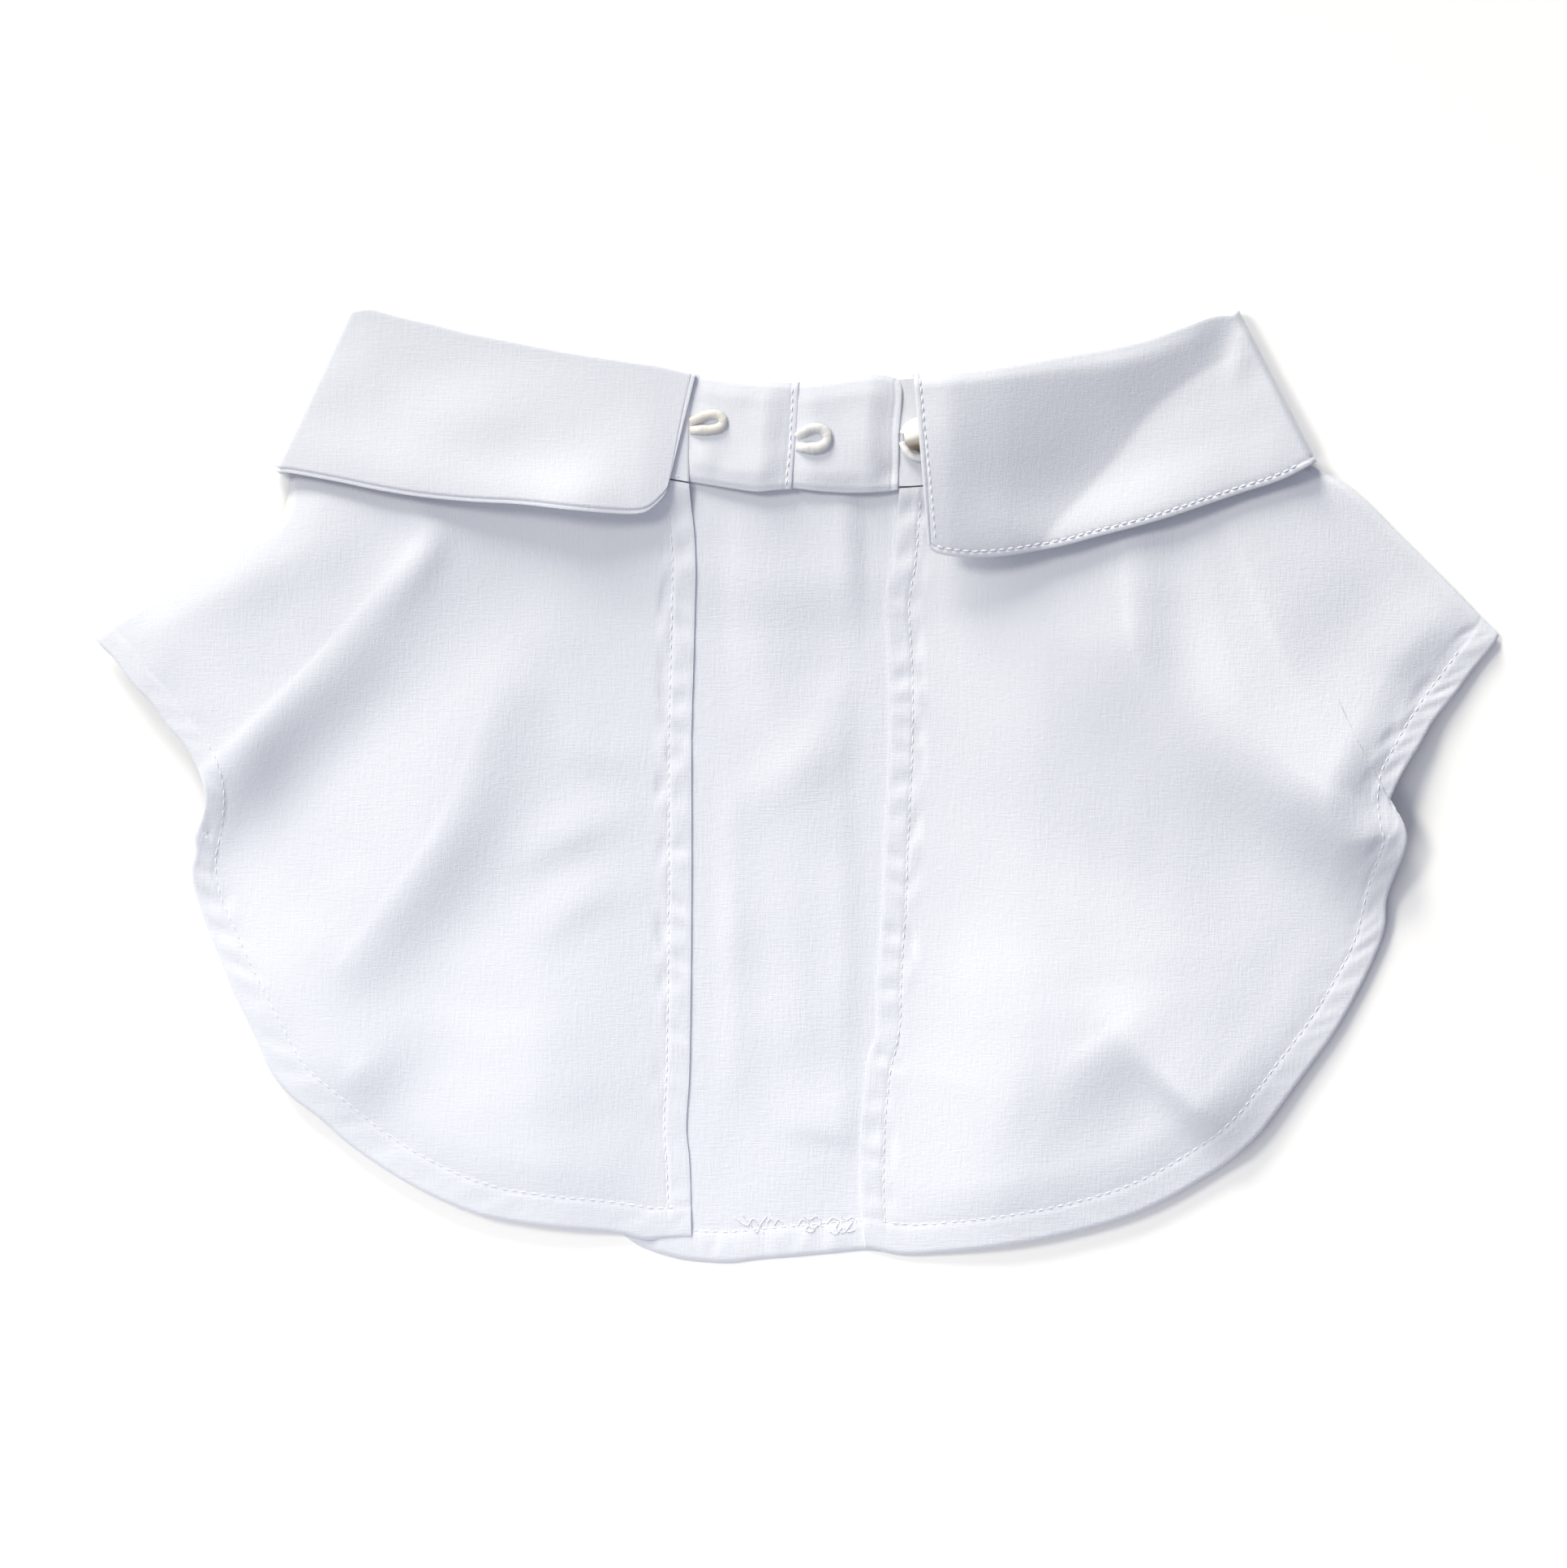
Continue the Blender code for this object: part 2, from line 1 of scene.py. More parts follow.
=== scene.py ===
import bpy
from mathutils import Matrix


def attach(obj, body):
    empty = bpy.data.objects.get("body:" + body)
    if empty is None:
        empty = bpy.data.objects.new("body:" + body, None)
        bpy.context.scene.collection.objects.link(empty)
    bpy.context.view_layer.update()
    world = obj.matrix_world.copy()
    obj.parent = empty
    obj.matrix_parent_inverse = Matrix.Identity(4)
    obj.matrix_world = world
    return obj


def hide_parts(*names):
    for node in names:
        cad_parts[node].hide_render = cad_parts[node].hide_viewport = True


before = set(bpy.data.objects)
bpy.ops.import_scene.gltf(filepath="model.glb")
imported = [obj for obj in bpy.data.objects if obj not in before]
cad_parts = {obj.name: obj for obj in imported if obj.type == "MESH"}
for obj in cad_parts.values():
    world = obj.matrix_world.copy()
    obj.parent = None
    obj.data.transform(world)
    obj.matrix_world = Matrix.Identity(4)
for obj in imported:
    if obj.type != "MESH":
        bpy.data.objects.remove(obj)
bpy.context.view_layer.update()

import math

import bpy
import numpy as np

# A shirt collar laid flat, back opening up. Lengths are in millimetres until
# a mesh is made. Plan positions in the tables below are given in the frame of
# the picture, 5.5 to the millimetre, and become millimetres in P().
SCALE = 5.5
CX, CY = 981.0, 966.0
RNG = np.random.RandomState(7)


def P(x, y):
    return ((x - CX) / SCALE, (CY - y) / SCALE)


def rows(*pairs):
    return [P(*p) for p in pairs]


# ---- thicknesses and layers ------------------------------------------------------
PLY = 0.34  # one layer of shirting with a little body
BAND = 0.56  # neck band, two plies
FALL = 0.56  # fall, two plies
FRONT_Z = 0.27
BACK_Z = 1.60
EDGE_Z = 1.75  # back panels keep this at their outer hems
OPEN_GAP = 0.36  # and come down to this over the front along the opening
MID_Z = 2.45
LEAF_H, STAND_H = 1.95, 0.85
UNDER_Z, OVER_Z = 2.60, 3.14
TURN_R = 1.95
ROLL_D = 0.60
ROLL_START = 0.40 + ROLL_D
STAND_TOP = ROLL_START + 0.35
FRONT_STAND_HEIGHT, LEAF_DEPTH, FRONT_DROP = 22.0, 40.0, 1.0

# ---- outlines ---------------------------------------------------------------------
TOP_FOLD = [(-98.5, 106.2)] + rows(
    (456, 379), (492, 388), (532, 397), (572, 407), (612, 415), (652, 423), (692, 430.5),
    (732, 437), (772, 443), (812, 449), (858, 459.5), (892, 463), (932, 468), (972, 470),
    (1012, 469), (1052, 465), (1092, 462), (1128, 459), (1172, 456), (1212, 452),
    (1252, 447), (1292, 440), (1332, 433), (1372, 426), (1412, 416.5), (1452, 402),
    (1492, 388),
) + [(97.0, 105.4)]
LEAF_EDGE_LEFT = [(-115.7, 69.6)] + rows(
    (352, 583), (417, 594.5), (468, 605), (518, 613), (580, 619), (641, 622.5), (700, 629),
    (753, 633.5), (784, 634), (797, 631), (812, 619), (820, 609), (824, 597),
)
LEAF_EDGE_RIGHT = rows(
    (1143, 672), (1149, 680), (1164, 685), (1200, 688), (1236, 686), (1272, 680.5),
    (1311, 673), (1350, 662.5), (1395, 651), (1440, 638), (1485, 623), (1529, 608),
    (1578, 592),
) + [(114.7, 71.1)]
NECK_LEFT = [(-109.1, 83.9)] + rows((480, 524), (590, 548), (695, 568), (797, 585), (849, 594))
NECK_RIGHT = rows((1095, 599.5), (1137, 598), (1205, 588), (1308, 573), (1412, 554), (1505, 526)) + [(108.3, 83.5)]
SHOULDER_LEFT = [(-109.0, 83.2), (-111.8, 75.8)] + rows(
    (357, 590), (356, 612), (346, 640), (328, 655), (306, 664), (250, 696), (196, 728),
    (141, 760), (114, 781),
)
SHOULDER_RIGHT = [(108.0, 82.8), (111.6, 76.5)] + rows(
    (1611, 570), (1628, 581), (1649, 591), (1679, 614), (1715, 650), (1761, 696),
    (1808, 744), (1847, 783),
)
OUTER_LEFT = rows(
    (114, 781), (126, 797), (139, 809), (167, 846), (186, 865), (209, 896), (233, 925),
    (249, 956), (254, 981), (251, 1005), (241, 1028), (242, 1048), (236, 1068), (240, 1096),
    (254, 1138), (272, 1182), (289, 1224), (305, 1256), (320, 1288), (334, 1320),
    (358, 1350), (392, 1376), (432, 1411), (472, 1439), (512, 1463), (552, 1482),
    (592, 1497), (632, 1505), (692, 1513), (764, 1520), (797, 1528), (822, 1526), (852, 1525),
)
OUTER_RIGHT = rows(
    (1847, 783), (1841, 794), (1816, 824), (1792, 856), (1766, 888), (1747, 920), (1727, 952),
    (1715, 976), (1711, 988), (1719, 1000), (1728, 1014), (1732, 1034), (1727, 1056),
    (1717, 1080), (1708, 1110), (1706, 1144), (1695, 1176), (1680, 1208), (1663, 1240),
    (1644, 1272), (1621, 1304), (1597, 1336), (1572, 1370), (1548, 1400), (1512, 1432),
    (1472, 1458), (1433, 1480), (1392, 1498), (1332, 1516), (1272, 1529), (1212, 1538),
    (1152, 1544), (1112, 1546), (1067, 1538),
)
OPENING_LEFT = rows(
    (849, 596), (850.5, 612), (855.5, 660), (857, 700), (856, 750), (854, 830), (852, 900),
    (852, 1056), (851, 1212), (849, 1329), (845.5, 1391), (849, 1427), (852, 1525),
)
OPENING_RIGHT = rows(
    (1108, 602), (1104, 640), (1101, 686), (1092, 735), (1092, 760), (1095, 800), (1097, 900),
    (1091, 1034), (1087, 1132), (1082, 1212), (1080, 1280), (1071, 1303), (1066, 1345),
    (1062, 1390), (1061, 1480), (1067, 1538),
)
FRONT_HEM = rows(
    (612, 1499), (700, 1511), (764, 1519), (776, 1528), (789, 1536), (806, 1543), (839, 1552),
    (876, 1556), (904, 1556.5), (930, 1553), (972, 1549.5), (1022, 1545), (1066, 1541),
    (1090, 1542.5), (1140, 1541), (1212, 1534), (1272, 1524),
)
SECTION_1 = dict(
    top=rows((838, 456), (858.9, 459.8), (881.6, 462.7), (923, 468.6), (954, 470.6), (985, 471.2)),
    bottom=rows((838, 590.5), (851.7, 594), (881.7, 599), (912.6, 604), (933.3, 606.3), (958, 604.2), (975.7, 603.2)),
    right=rows((985, 471.2), (982.9, 512), (978.8, 564), (975.7, 603.2)),
)
SECTION_2 = dict(
    top=rows((965, 471.5), (985, 471), (1016, 469), (1047, 463.8), (1078, 461.2), (1096, 463.6), (1106, 467.5), (1111, 474)),
    bottom=rows((962, 601.5), (978.8, 602.2), (1005.6, 605.3), (1047, 607.8), (1088.3, 606.3), (1106.9, 604.0)),
    right=rows((1111, 474), (1112, 489.6), (1107.9, 533), (1108, 564), (1106.9, 604.0)),
)

# ---- folds: crest from start through middle to end in plan, its height (mm) at
# the three, and how far it spreads (mm) to the left and right of its run --------
FOLD_LEVEL = 0.82
BACK_FOLDS = [
    # left panel
    ("shoulder_roll", (430, 610), (320, 695), (190, 795), (0.8, 2.0, 0.6), 11, 9),
    ("long_crest", (572, 596), (398, 800), (224, 972), (1.5, 4.8, 8.6), 12, 50),
    ("crest_tuck", (515, 625), (532, 665), (480, 745), (0.5, 0.9, 0.1), 4, 4),
    ("second_crest", (600, 860), (545, 1005), (415, 1185), (2.0, 4.2, 3.2), 12, 28),
    ("hem_dent_ridge", (480, 1276), (434, 1314), (402, 1352), (0.4, 2.9, 1.2), 9.5, 18),
    ("left_side_swell", (300, 1090), (330, 1180), (380, 1270), (0.8, 1.0, 0.5), 14, 12),
    ("left_streak_1", (690, 860), (730, 925), (785, 935), (0.1, 0.7, 0.5), 6, 4.5),
    ("left_streak_2", (640, 1060), (700, 1030), (785, 1000), (0.2, 0.9, 0.5), 6, 4.5),
    ("left_streak_3", (660, 1160), (720, 1110), (790, 1090), (0.1, 0.8, 0.5), 6, 4.5),
    ("left_low_swell", (560, 1330), (650, 1310), (760, 1330), (0.5, 0.9, 0.5), 22, 24),
    # right panel
    ("plateau", (1380, 618), (1388, 780), (1446, 925), (2.8, 5.2, 1.8), 10.5, 36),
    ("right_crest", (1478, 612), (1560, 905), (1750, 1036), (1.4, 6.6, 12.4), 24, 14.0),
    ("right_fine_line", (1520, 640), (1600, 835), (1660, 915), (0.3, 0.6, 0.1), 7, 2.6),
    ("right_shoulder", (1575, 600), (1640, 690), (1745, 800), (1.2, 1.8, 0.9), 9, 12),
    ("right_corner", (1690, 850), (1720, 800), (1790, 760), (0.2, 1.2, 0.7), 9, 7),
    ("right_mid_swell", (1380, 1150), (1470, 1160), (1590, 1150), (0.4, 0.8, 0.6), 22, 20),
    ("right_hem_crest", (1384, 1258), (1456, 1338), (1532, 1412), (0.4, 4.2, 3.8), 18, 4.4),
    ("right_patch", (1276, 1326), (1334, 1290), (1392, 1246), (0.8, 3.6, 2.9), 36, 13),
    ("right_band_1", (1165, 830), (1175, 950), (1170, 1070), (0.1, 0.35, 0.2), 9, 9),
    ("right_band_2", (1160, 1080), (1150, 1200), (1140, 1330), (0.2, 0.7, 0.4), 20, 7),
]
FRONT_FOLDS = [
    ("gap_edge", (1046, 622), (1080, 690), (1097, 765), (1.0, 2.0, 1.0), 3.4, 8),
    ("gap_mid", (925, 640), (955, 860), (1010, 1010), (0.4, 1.0, 0.6), 9, 7),
    ("gap_cross", (1040, 850), (1000, 930), (930, 990), (0.3, 0.8, 0.2), 7, 6),
    ("gap_band_1", (965, 1040), (980, 1200), (985, 1350), (0.2, 0.6, 0.3), 6, 7),
    ("gap_band_2", (1035, 1010), (1046, 1150), (1036, 1360), (0.2, 0.5, 0.2), 6, 6),
    ("gap_bright", (880, 960), (892, 1150), (900, 1330), (0.2, 0.7, 0.2), 6, 5),
    ("gap_dent", (985, 1388), (1015, 1390), (1052, 1400), (0.4, 0.6, 0.4), 8, 2.6),
]
LEAF_FOLDS = [
    ("left_mid", (500, 560), (600, 505), (720, 500), (0.3, 0.8, 0.2), 10, 9),
    ("left_side", (440, 420), (410, 470), (372, 545), (0.2, 0.7, 0.5), 10, 9),
    ("left_lower", (420, 585), (560, 608), (740, 630), (0.8, 1.5, 2.1), 9, 10),
    ("left_end", (812, 590), (780, 612), (700, 628), (0.4, 1.3, 1.2), 8, 10),
    ("right_top", (1300, 462), (1380, 448), (1450, 428), (0.3, 0.8, 0.5), 5, 9),
    ("right_lift", (1200, 676), (1300, 668), (1440, 634), (1.4, 2.0, 1.0), 9, 9),
    ("right_low", (1300, 668), (1420, 625), (1560, 575), (0.4, 0.9, 0.6), 8, 6),
    ("right_tuck", (1534, 398), (1527, 440), (1519, 478), (0.3, 0.8, 0.1), 3.5, 2.5),
    ("right_side", (1560, 440), (1580, 500), (1600, 560), (0.3, 0.9, 0.5), 7, 10),
]
# the right half of the fall is propped on the pearl: it drops to this line
HOLLOW = rows((1105, 718), (1190, 710), (1272, 690), (1300, 650), (1330, 617), (1378, 565), (1412, 519), (1438, 493), (1474, 466), (1518, 441), (1575, 420))
PEARL = P(1133.5, 537.5)
PEARL_R = 3.58
LOOP_1 = rows(
    (850.6, 520.4), (857, 517.8), (864, 514.8), (871, 512.2), (879, 511.2),
    (886.4, 513.0), (890.6, 518.0), (890.2, 523.6), (885.2, 527.8), (876, 529.8), (863, 530.4),
    (850.6, 530.6),
)
LOOP_2 = rows(
    (982.4, 539.6), (986.4, 536.0), (993, 531.4), (1002, 528.2), (1011.4, 529.2),
    (1018, 534.2), (1019.6, 541.4), (1016.4, 548.2), (1009, 552.2), (999, 553.0), (989.6, 552.2),
    (981.8, 551.2),
)
LOOP_3 = [
    (P(1134.5, 0)[0] + 4.10 * math.cos(math.radians(a)), P(0, 542.0)[1] + 4.10 * math.sin(math.radians(a)))
    for a in range(187, 535, 12)
]


# ---- curves ----------------------------------------------------------------------
def fine(path, per=24):
    """Smooth curve through the rows, as a dense polyline with its run."""
    p = np.asarray(path, float)
    if len(p) > 2:
        chord = np.sqrt(np.linalg.norm(np.diff(p, axis=0), axis=1))
        k = np.concatenate([[0.0], np.cumsum(chord)])
        slope = np.gradient(p, k, axis=0)
        t_all = np.linspace(0.0, k[-1], per * len(p))
        i = np.clip(np.searchsorted(k, t_all, side="right") - 1, 0, len(p) - 2)
        h = (k[i + 1] - k[i])[:, None]
        t = (t_all - k[i])[:, None] / h
        p = (
            (2 * t**3 - 3 * t**2 + 1) * p[i]
            + (t**3 - 2 * t**2 + t) * h * slope[i]
            + (3 * t**2 - 2 * t**3) * p[i + 1]
            + (t**3 - t**2) * h * slope[i + 1]
        )
    run = np.concatenate([[0.0], np.cumsum(np.linalg.norm(np.diff(p, axis=0), axis=1))])
    return p, run


def along(path, fractions):
    """Points at these fractions of the curve's length."""
    p, run = fine(path)
    at = np.asarray(fractions, float) * run[-1]
    return np.stack([np.interp(at, run, p[:, a]) for a in range(p.shape[1])], axis=-1)


def between(low, high, x):
    t = np.clip((x - low) / (high - low), 0.0, 1.0)
    return t * t * (3 - 2 * t)


def bell(x, width):
    return np.exp(-((x / width) ** 2))


def higher(a, b, soft=0.25):
    h = np.clip(0.5 + 0.5 * (a - b) / soft, 0.0, 1.0)
    return b + (a - b) * h + soft * h * (1 - h)


def patch(top, bottom, left, right, u, v):
    """Grid of x, y over four edge curves that meet at their ends."""
    c0, c1 = along(top, u), along(bottom, u)
    d0, d1 = along(left, v), along(right, v)
    U, V = np.asarray(u)[:, None, None], np.asarray(v)[None, :, None]
    return (
        (1 - V) * c0[:, None] + V * c1[:, None] + (1 - U) * d0[None] + U * d1[None]
        - (1 - U) * (1 - V) * c0[0] - U * (1 - V) * c0[-1] - (1 - U) * V * c1[0] - U * V * c1[-1]
    )


def spaced(count, *dense):
    """count fractions of 0..1, closer together near each (place, reach, factor)."""
    t = np.linspace(0, 1, 2000)
    weight = np.ones_like(t)
    for place, reach, factor in dense:
        weight += (factor - 1) * np.exp(-(((t - place) / reach) ** 2))
    run = np.concatenate([[0.0], np.cumsum((weight[1:] + weight[:-1]) / 2)])
    return np.interp(np.linspace(0, run[-1], count), run, t)


def nearest(x, y, path, step=1.0):
    """Distance to a curve and the run along it of its nearest point."""
    p, run = fine(path)
    n = max(8, int(run[-1] / step))
    at = np.linspace(0, run[-1], n)
    q = np.stack([np.interp(at, run, p[:, a]) for a in (0, 1)], axis=1)
    a, ab = q[:-1], q[1:] - q[:-1]
    ll = (ab**2).sum(1)
    X, Y = np.atleast_1d(x).ravel(), np.atleast_1d(y).ravel()
    dist, place = np.empty(len(X)), np.empty(len(X))
    for lo in range(0, len(X), 4000):
        xs, ys = X[lo : lo + 4000, None], Y[lo : lo + 4000, None]
        t = np.clip(((xs - a[:, 0]) * ab[:, 0] + (ys - a[:, 1]) * ab[:, 1]) / ll, 0, 1)
        d2 = (xs - a[:, 0] - t * ab[:, 0]) ** 2 + (ys - a[:, 1] - t * ab[:, 1]) ** 2
        k = d2.argmin(1)
        r = np.arange(len(k))
        dist[lo : lo + 4000] = np.sqrt(d2[r, k])
        place[lo : lo + 4000] = at[k] + t[r, k] * (at[k + 1] - at[k])
    shape = np.shape(x)
    return dist.reshape(shape), place.reshape(shape)


def folds_at(x, y, folds, power=6.0, count=56):
    """Sum of the folds' heights: each a soft ridge about its crest line, its
    parts blended so that a bent crest leaves no seam on its inner side."""
    total = np.zeros_like(x)
    f = (np.arange(count) + 0.5) / count
    for _, start, middle, end, heights, spread_left, spread_right in folds:
        crest = along([P(*start), P(*middle), P(*end)], f)
        step = np.linalg.norm(np.diff(crest, axis=0), axis=1).mean()
        run = np.gradient(crest, axis=0)
        run /= np.linalg.norm(run, axis=1)[:, None]
        level = np.interp(f * 2, (0, 1, 2), heights)
        total_p = np.zeros_like(x)
        reach = 2.6 * max(spread_left, spread_right)
        lo, hi = crest.min(0) - reach, crest.max(0) + reach
        near = (x > lo[0]) & (x < hi[0]) & (y > lo[1]) & (y < hi[1])
        if not near.any():
            continue
        px, py = x[near], y[near]
        acc = np.zeros_like(px)
        for i in range(count):
            dx, dy = px - crest[i, 0], py - crest[i, 1]
            dist2 = dx * dx + dy * dy
            across = (run[i, 0] * dy - run[i, 1] * dx) / np.sqrt(dist2 + 0.04)
            spread = spread_right + (spread_left - spread_right) * (0.5 + 0.5 * across)
            weight = step / (spread * math.sqrt(math.pi / power))
            acc += weight * (level[i] + 0.02) ** power * np.exp(-power * dist2 / spread**2)
        total_p[near] = acc ** (1.0 / power)
        total = total + total_p
    return FOLD_LEVEL * total


# ---- puckers: small gathers along a sewn hem -----------------------------------------
class Puckers:
    """Dimples along a stitched line: uneven places, depths, widths and slants,
    some held in the hem and some running from the stitches into the panel."""

    def __init__(self, length, pitch, seed, depth, fade, slant=0.0, wide=1.0):
        r = np.random.RandomState(seed)
        self.at, s = [], r.uniform(0, pitch)
        while s < length:
            strength = float(np.interp(s, *fade)) * r.uniform(0.35, 1.0)
            self.at.append((s, depth * strength, wide * r.uniform(1.0, 1.8), slant + r.uniform(-0.45, 0.45), 0.0))
            if r.uniform() < 0.75:
                strength = float(np.interp(s, *fade)) * r.uniform(0.3, 0.9)
                self.at.append(
                    (s + r.uniform(-2, 2), depth * strength, wide * r.uniform(1.3, 2.6), slant * 0.5 + r.uniform(-0.8, 0.8), r.uniform(2.0, 5.5))
                )
            s += pitch * r.uniform(0.55, 1.45)

    def height(self, d, s, line):
        """Height at distance d from the edge, run s, with the stitches at line."""
        z = np.zeros_like(d)
        for place, depth, width, slant, inward in self.at:
            t = (s - place - slant * (d - line)) / width
            near = (np.abs(t) < 3.4) & (d < line + 4 * inward + 3)
            if not near.any():
                continue
            tt, dd, ll = t[near], d[near], line[near]
            if inward:
                across = bell(dd - ll - 0.55 * inward, 0.75 * inward) * between(-0.6, 0.9, dd - ll) * (1 - between(6.5, 9.0, dd))
            else:
                across = bell(dd - 0.55 * ll, 0.42 * ll)
            z[near] += depth * across * (0.55 * np.exp(-((tt - 1.35) ** 2)) - np.exp(-tt * tt))
        return z


def hem_line_left(s):
    return np.interp(s, (0, 40, 70, 110, 290), (4.9, 4.9, 5.2, 6.9, 7.0))


def hem_line_right(s):
    return np.interp(s, (0, 40, 70, 110, 290), (5.4, 4.6, 5.2, 6.3, 6.9))


PUCKER = {
    "left_outer": Puckers(300, 8.4, 11, 0.42, ((0, 25, 38, 48, 80, 110, 150, 300), (0.05, 0.2, 0.5, 1.0, 0.8, 0.35, 0.2, 0.15)), 0.9, 1.75),
    "right_outer": Puckers(300, 5.0, 12, 0.36, ((0, 12, 50, 75, 95, 112, 300), (0.8, 1.0, 0.8, 0.9, 0.5, 0.2, 0.1)), 1.2, 1.6),
    "left_opening": Puckers(175, 8.6, 13, 0.56, ((0, 10, 100, 135, 175), (1.0, 1.0, 0.9, 0.3, 0.25)), -0.3, 1.6),
    "right_opening": Puckers(175, 8.0, 14, 0.54, ((0, 10, 130, 175), (1.0, 0.9, 0.8, 0.5)), 0.3, 1.5),
    "front_hem": Puckers(560, 7.5, 15, 0.25, ((0, 560), (1, 1))),
}


def hem_profile(d, line, rise, edge=0.22, round_up=0.14):
    """A turned hem: a little raised, pinched at its stitches, soft at the fold."""
    band = rise * (1 - between(-1.1, 1.2, d - line))
    pinch = 0.10 * bell(d - line, 0.5)
    crown = round_up * np.sin(np.pi * np.clip(d / line, 0, 1))
    return band - pinch + crown - edge * (1 - between(0.0, 0.7, d))


def rumple(x, y, seed, size, count=70):
    """Slight unevenness of worn, pressed cloth: many faint broad waves."""
    r = np.random.RandomState(seed)
    z = np.zeros_like(x)
    for _ in range(count):
        wave = 10.0 * (3.5 ** r.uniform())
        a = r.uniform(0, math.pi)
        cx, cy = r.uniform(-150, 150), r.uniform(-105, 100)
        phase = r.uniform(0, 2 * math.pi)
        u = (x - cx) * math.cos(a) + (y - cy) * math.sin(a)
        v = -(x - cx) * math.sin(a) + (y - cy) * math.cos(a)
        z += 0.020 * wave * np.sin(2 * math.pi * u / wave + phase) * bell(u, 1.1 * wave) * bell(v, r.uniform(1.2, 2.6) * wave)
    return size * z


# ---- heights of the layers ----------------------------------------------------------------
def top_y(x):
    p, _ = fine(TOP_FOLD)
    return np.interp(x, p[:, 0], p[:, 1])


def neck_y(x):
    p = np.array(NECK_LEFT + NECK_RIGHT)
    return np.interp(x, p[:, 0], p[:, 1])


def stand_back_z(x):
    base = MID_Z + STAND_H
    left = (OVER_Z - base) * between(-36.0, -25.0, x) * (x < 0)
    right = (UNDER_Z - base) * (1 - between(33.0, 48.0, x)) * (x > 0)
    return base + left + right


def section_z(x, left, right):
    return UNDER_Z + (OVER_Z - UNDER_Z) * between(left, right, x)


def bow_z(x):
    """The extender bows up a little between its ends."""
    return 0.70 * np.sin(np.pi * np.clip((x + 22.0) / 44.0, 0.0, 1.0)) ** 1.3


def ribs(edge_left, edge_right, front_length, left_end, right_end, parts):
    """Roots, tips and turn angles of the ribs, from the left end of the back
    round the front to the right end. parts: fractions of the five stretches."""
    back_left, turn_left, front, turn_right, back_right = parts
    first, last = np.array(TOP_FOLD[0]), np.array(TOP_FOLD[-1])
    e0, e1 = np.array(edge_left[0]), np.array(edge_right[-1])

    def top_part(x0, x1):
        p, _ = fine(TOP_FOLD)
        inner = p[(p[:, 0] > x0 + 0.4) & (p[:, 0] < x1 - 0.4)]
        return np.vstack([[x0, top_y(x0)], inner, [x1, top_y(x1)]])

    def spread(points, f):
        run = np.concatenate([[0], np.cumsum(np.linalg.norm(np.diff(points, axis=0), axis=1))])
        return np.stack([np.interp(f * run[-1], run, points[:, a]) for a in (0, 1)], 1)

    roots, tips, angles = [], [], []
    f = 1 - np.asarray(back_left)
    roots.append(spread(top_part(first[0], left_end), f))
    tips.append(along(edge_left, f))
    angles.append(np.zeros(len(f)))
    n = len(turn_left)
    roots.append(np.repeat(first[None], n, 0))
    tips.append(np.repeat(e0[None], n, 0))
    angles.append(np.asarray(turn_left) * math.pi)
    f = np.asarray(front)
    top = spread(top_part(first[0], last[0]), f)
    bow = np.sqrt(np.sin(np.pi * np.clip(f, 0, 1)).clip(0))
    a, b = e0 - first, e1 - last
    way = a * (1 - between(0.0, 0.35, f))[:, None] + b * between(0.65, 1.0, f)[:, None]
    way = way + np.array([0.0, -20.0]) * np.sin(np.pi * f)[:, None]
    reach = np.linalg.norm(a) + (front_length - np.linalg.norm(a)) * bow
    way = way / np.linalg.norm(way, axis=1)[:, None] * reach[:, None]
    top = top - np.stack([0 * bow, FRONT_DROP * bow], 1)
    roots.append(top)
    tips.append(top + way)
    angles.append(np.full(len(f), math.pi))
    n = len(turn_right)
    roots.append(np.repeat(last[None], n, 0))
    tips.append(np.repeat(e1[None], n, 0))
    angles.append((1 - np.asarray(turn_right)) * math.pi)
    f = 1 - np.asarray(back_right)
    roots.append(spread(top_part(right_end, last[0]), f))
    tips.append(along(edge_right, f))
    angles.append(np.zeros(len(f)))
    return np.vstack(roots), np.vstack(tips), np.concatenate(angles)


_FRONT_EDGE = None


def front_leaf_y(x):
    global _FRONT_EDGE
    if _FRONT_EDGE is None:
        _, tips, angles = ribs(
            LEAF_EDGE_LEFT, LEAF_EDGE_RIGHT, LEAF_DEPTH, P(858, 0)[0], P(1124, 0)[0],
            ([0.0, 1.0], [0.5], np.linspace(0, 1, 41), [0.5], [0.0, 1.0]),
        )
        _FRONT_EDGE = tips[angles == math.pi]
    return np.interp(x, _FRONT_EDGE[:, 0], _FRONT_EDGE[:, 1])


def front_base_z(x, y):
    above = y - front_leaf_y(x)
    z = FRONT_Z + 0.80 * between(-17.0, -1.0, above) + 0.40 * between(-2.0, 14.0, above)
    in_gap = 1 - between(11.0, 18.0, np.abs(x + 1.5))
    z = z + (folds_at(x, y, FRONT_FOLDS) + rumple(x, y, 42, 0.12)) * in_gap * between(-104, -92, y)
    return z


def back_base_z(x, y):
    below = neck_y(x) - y
    rise = 1 - between(1.0, 17.0, below)
    held = 1 - between(5.0, 21.0, below)
    swell = 2.3 * between(-14.0, -96.0, y)
    z = BACK_Z + (stand_back_z(x) - BACK_Z) * rise + swell
    return z + (folds_at(x, y, BACK_FOLDS) + rumple(x, y, 41, 0.13)) * (1 - held)


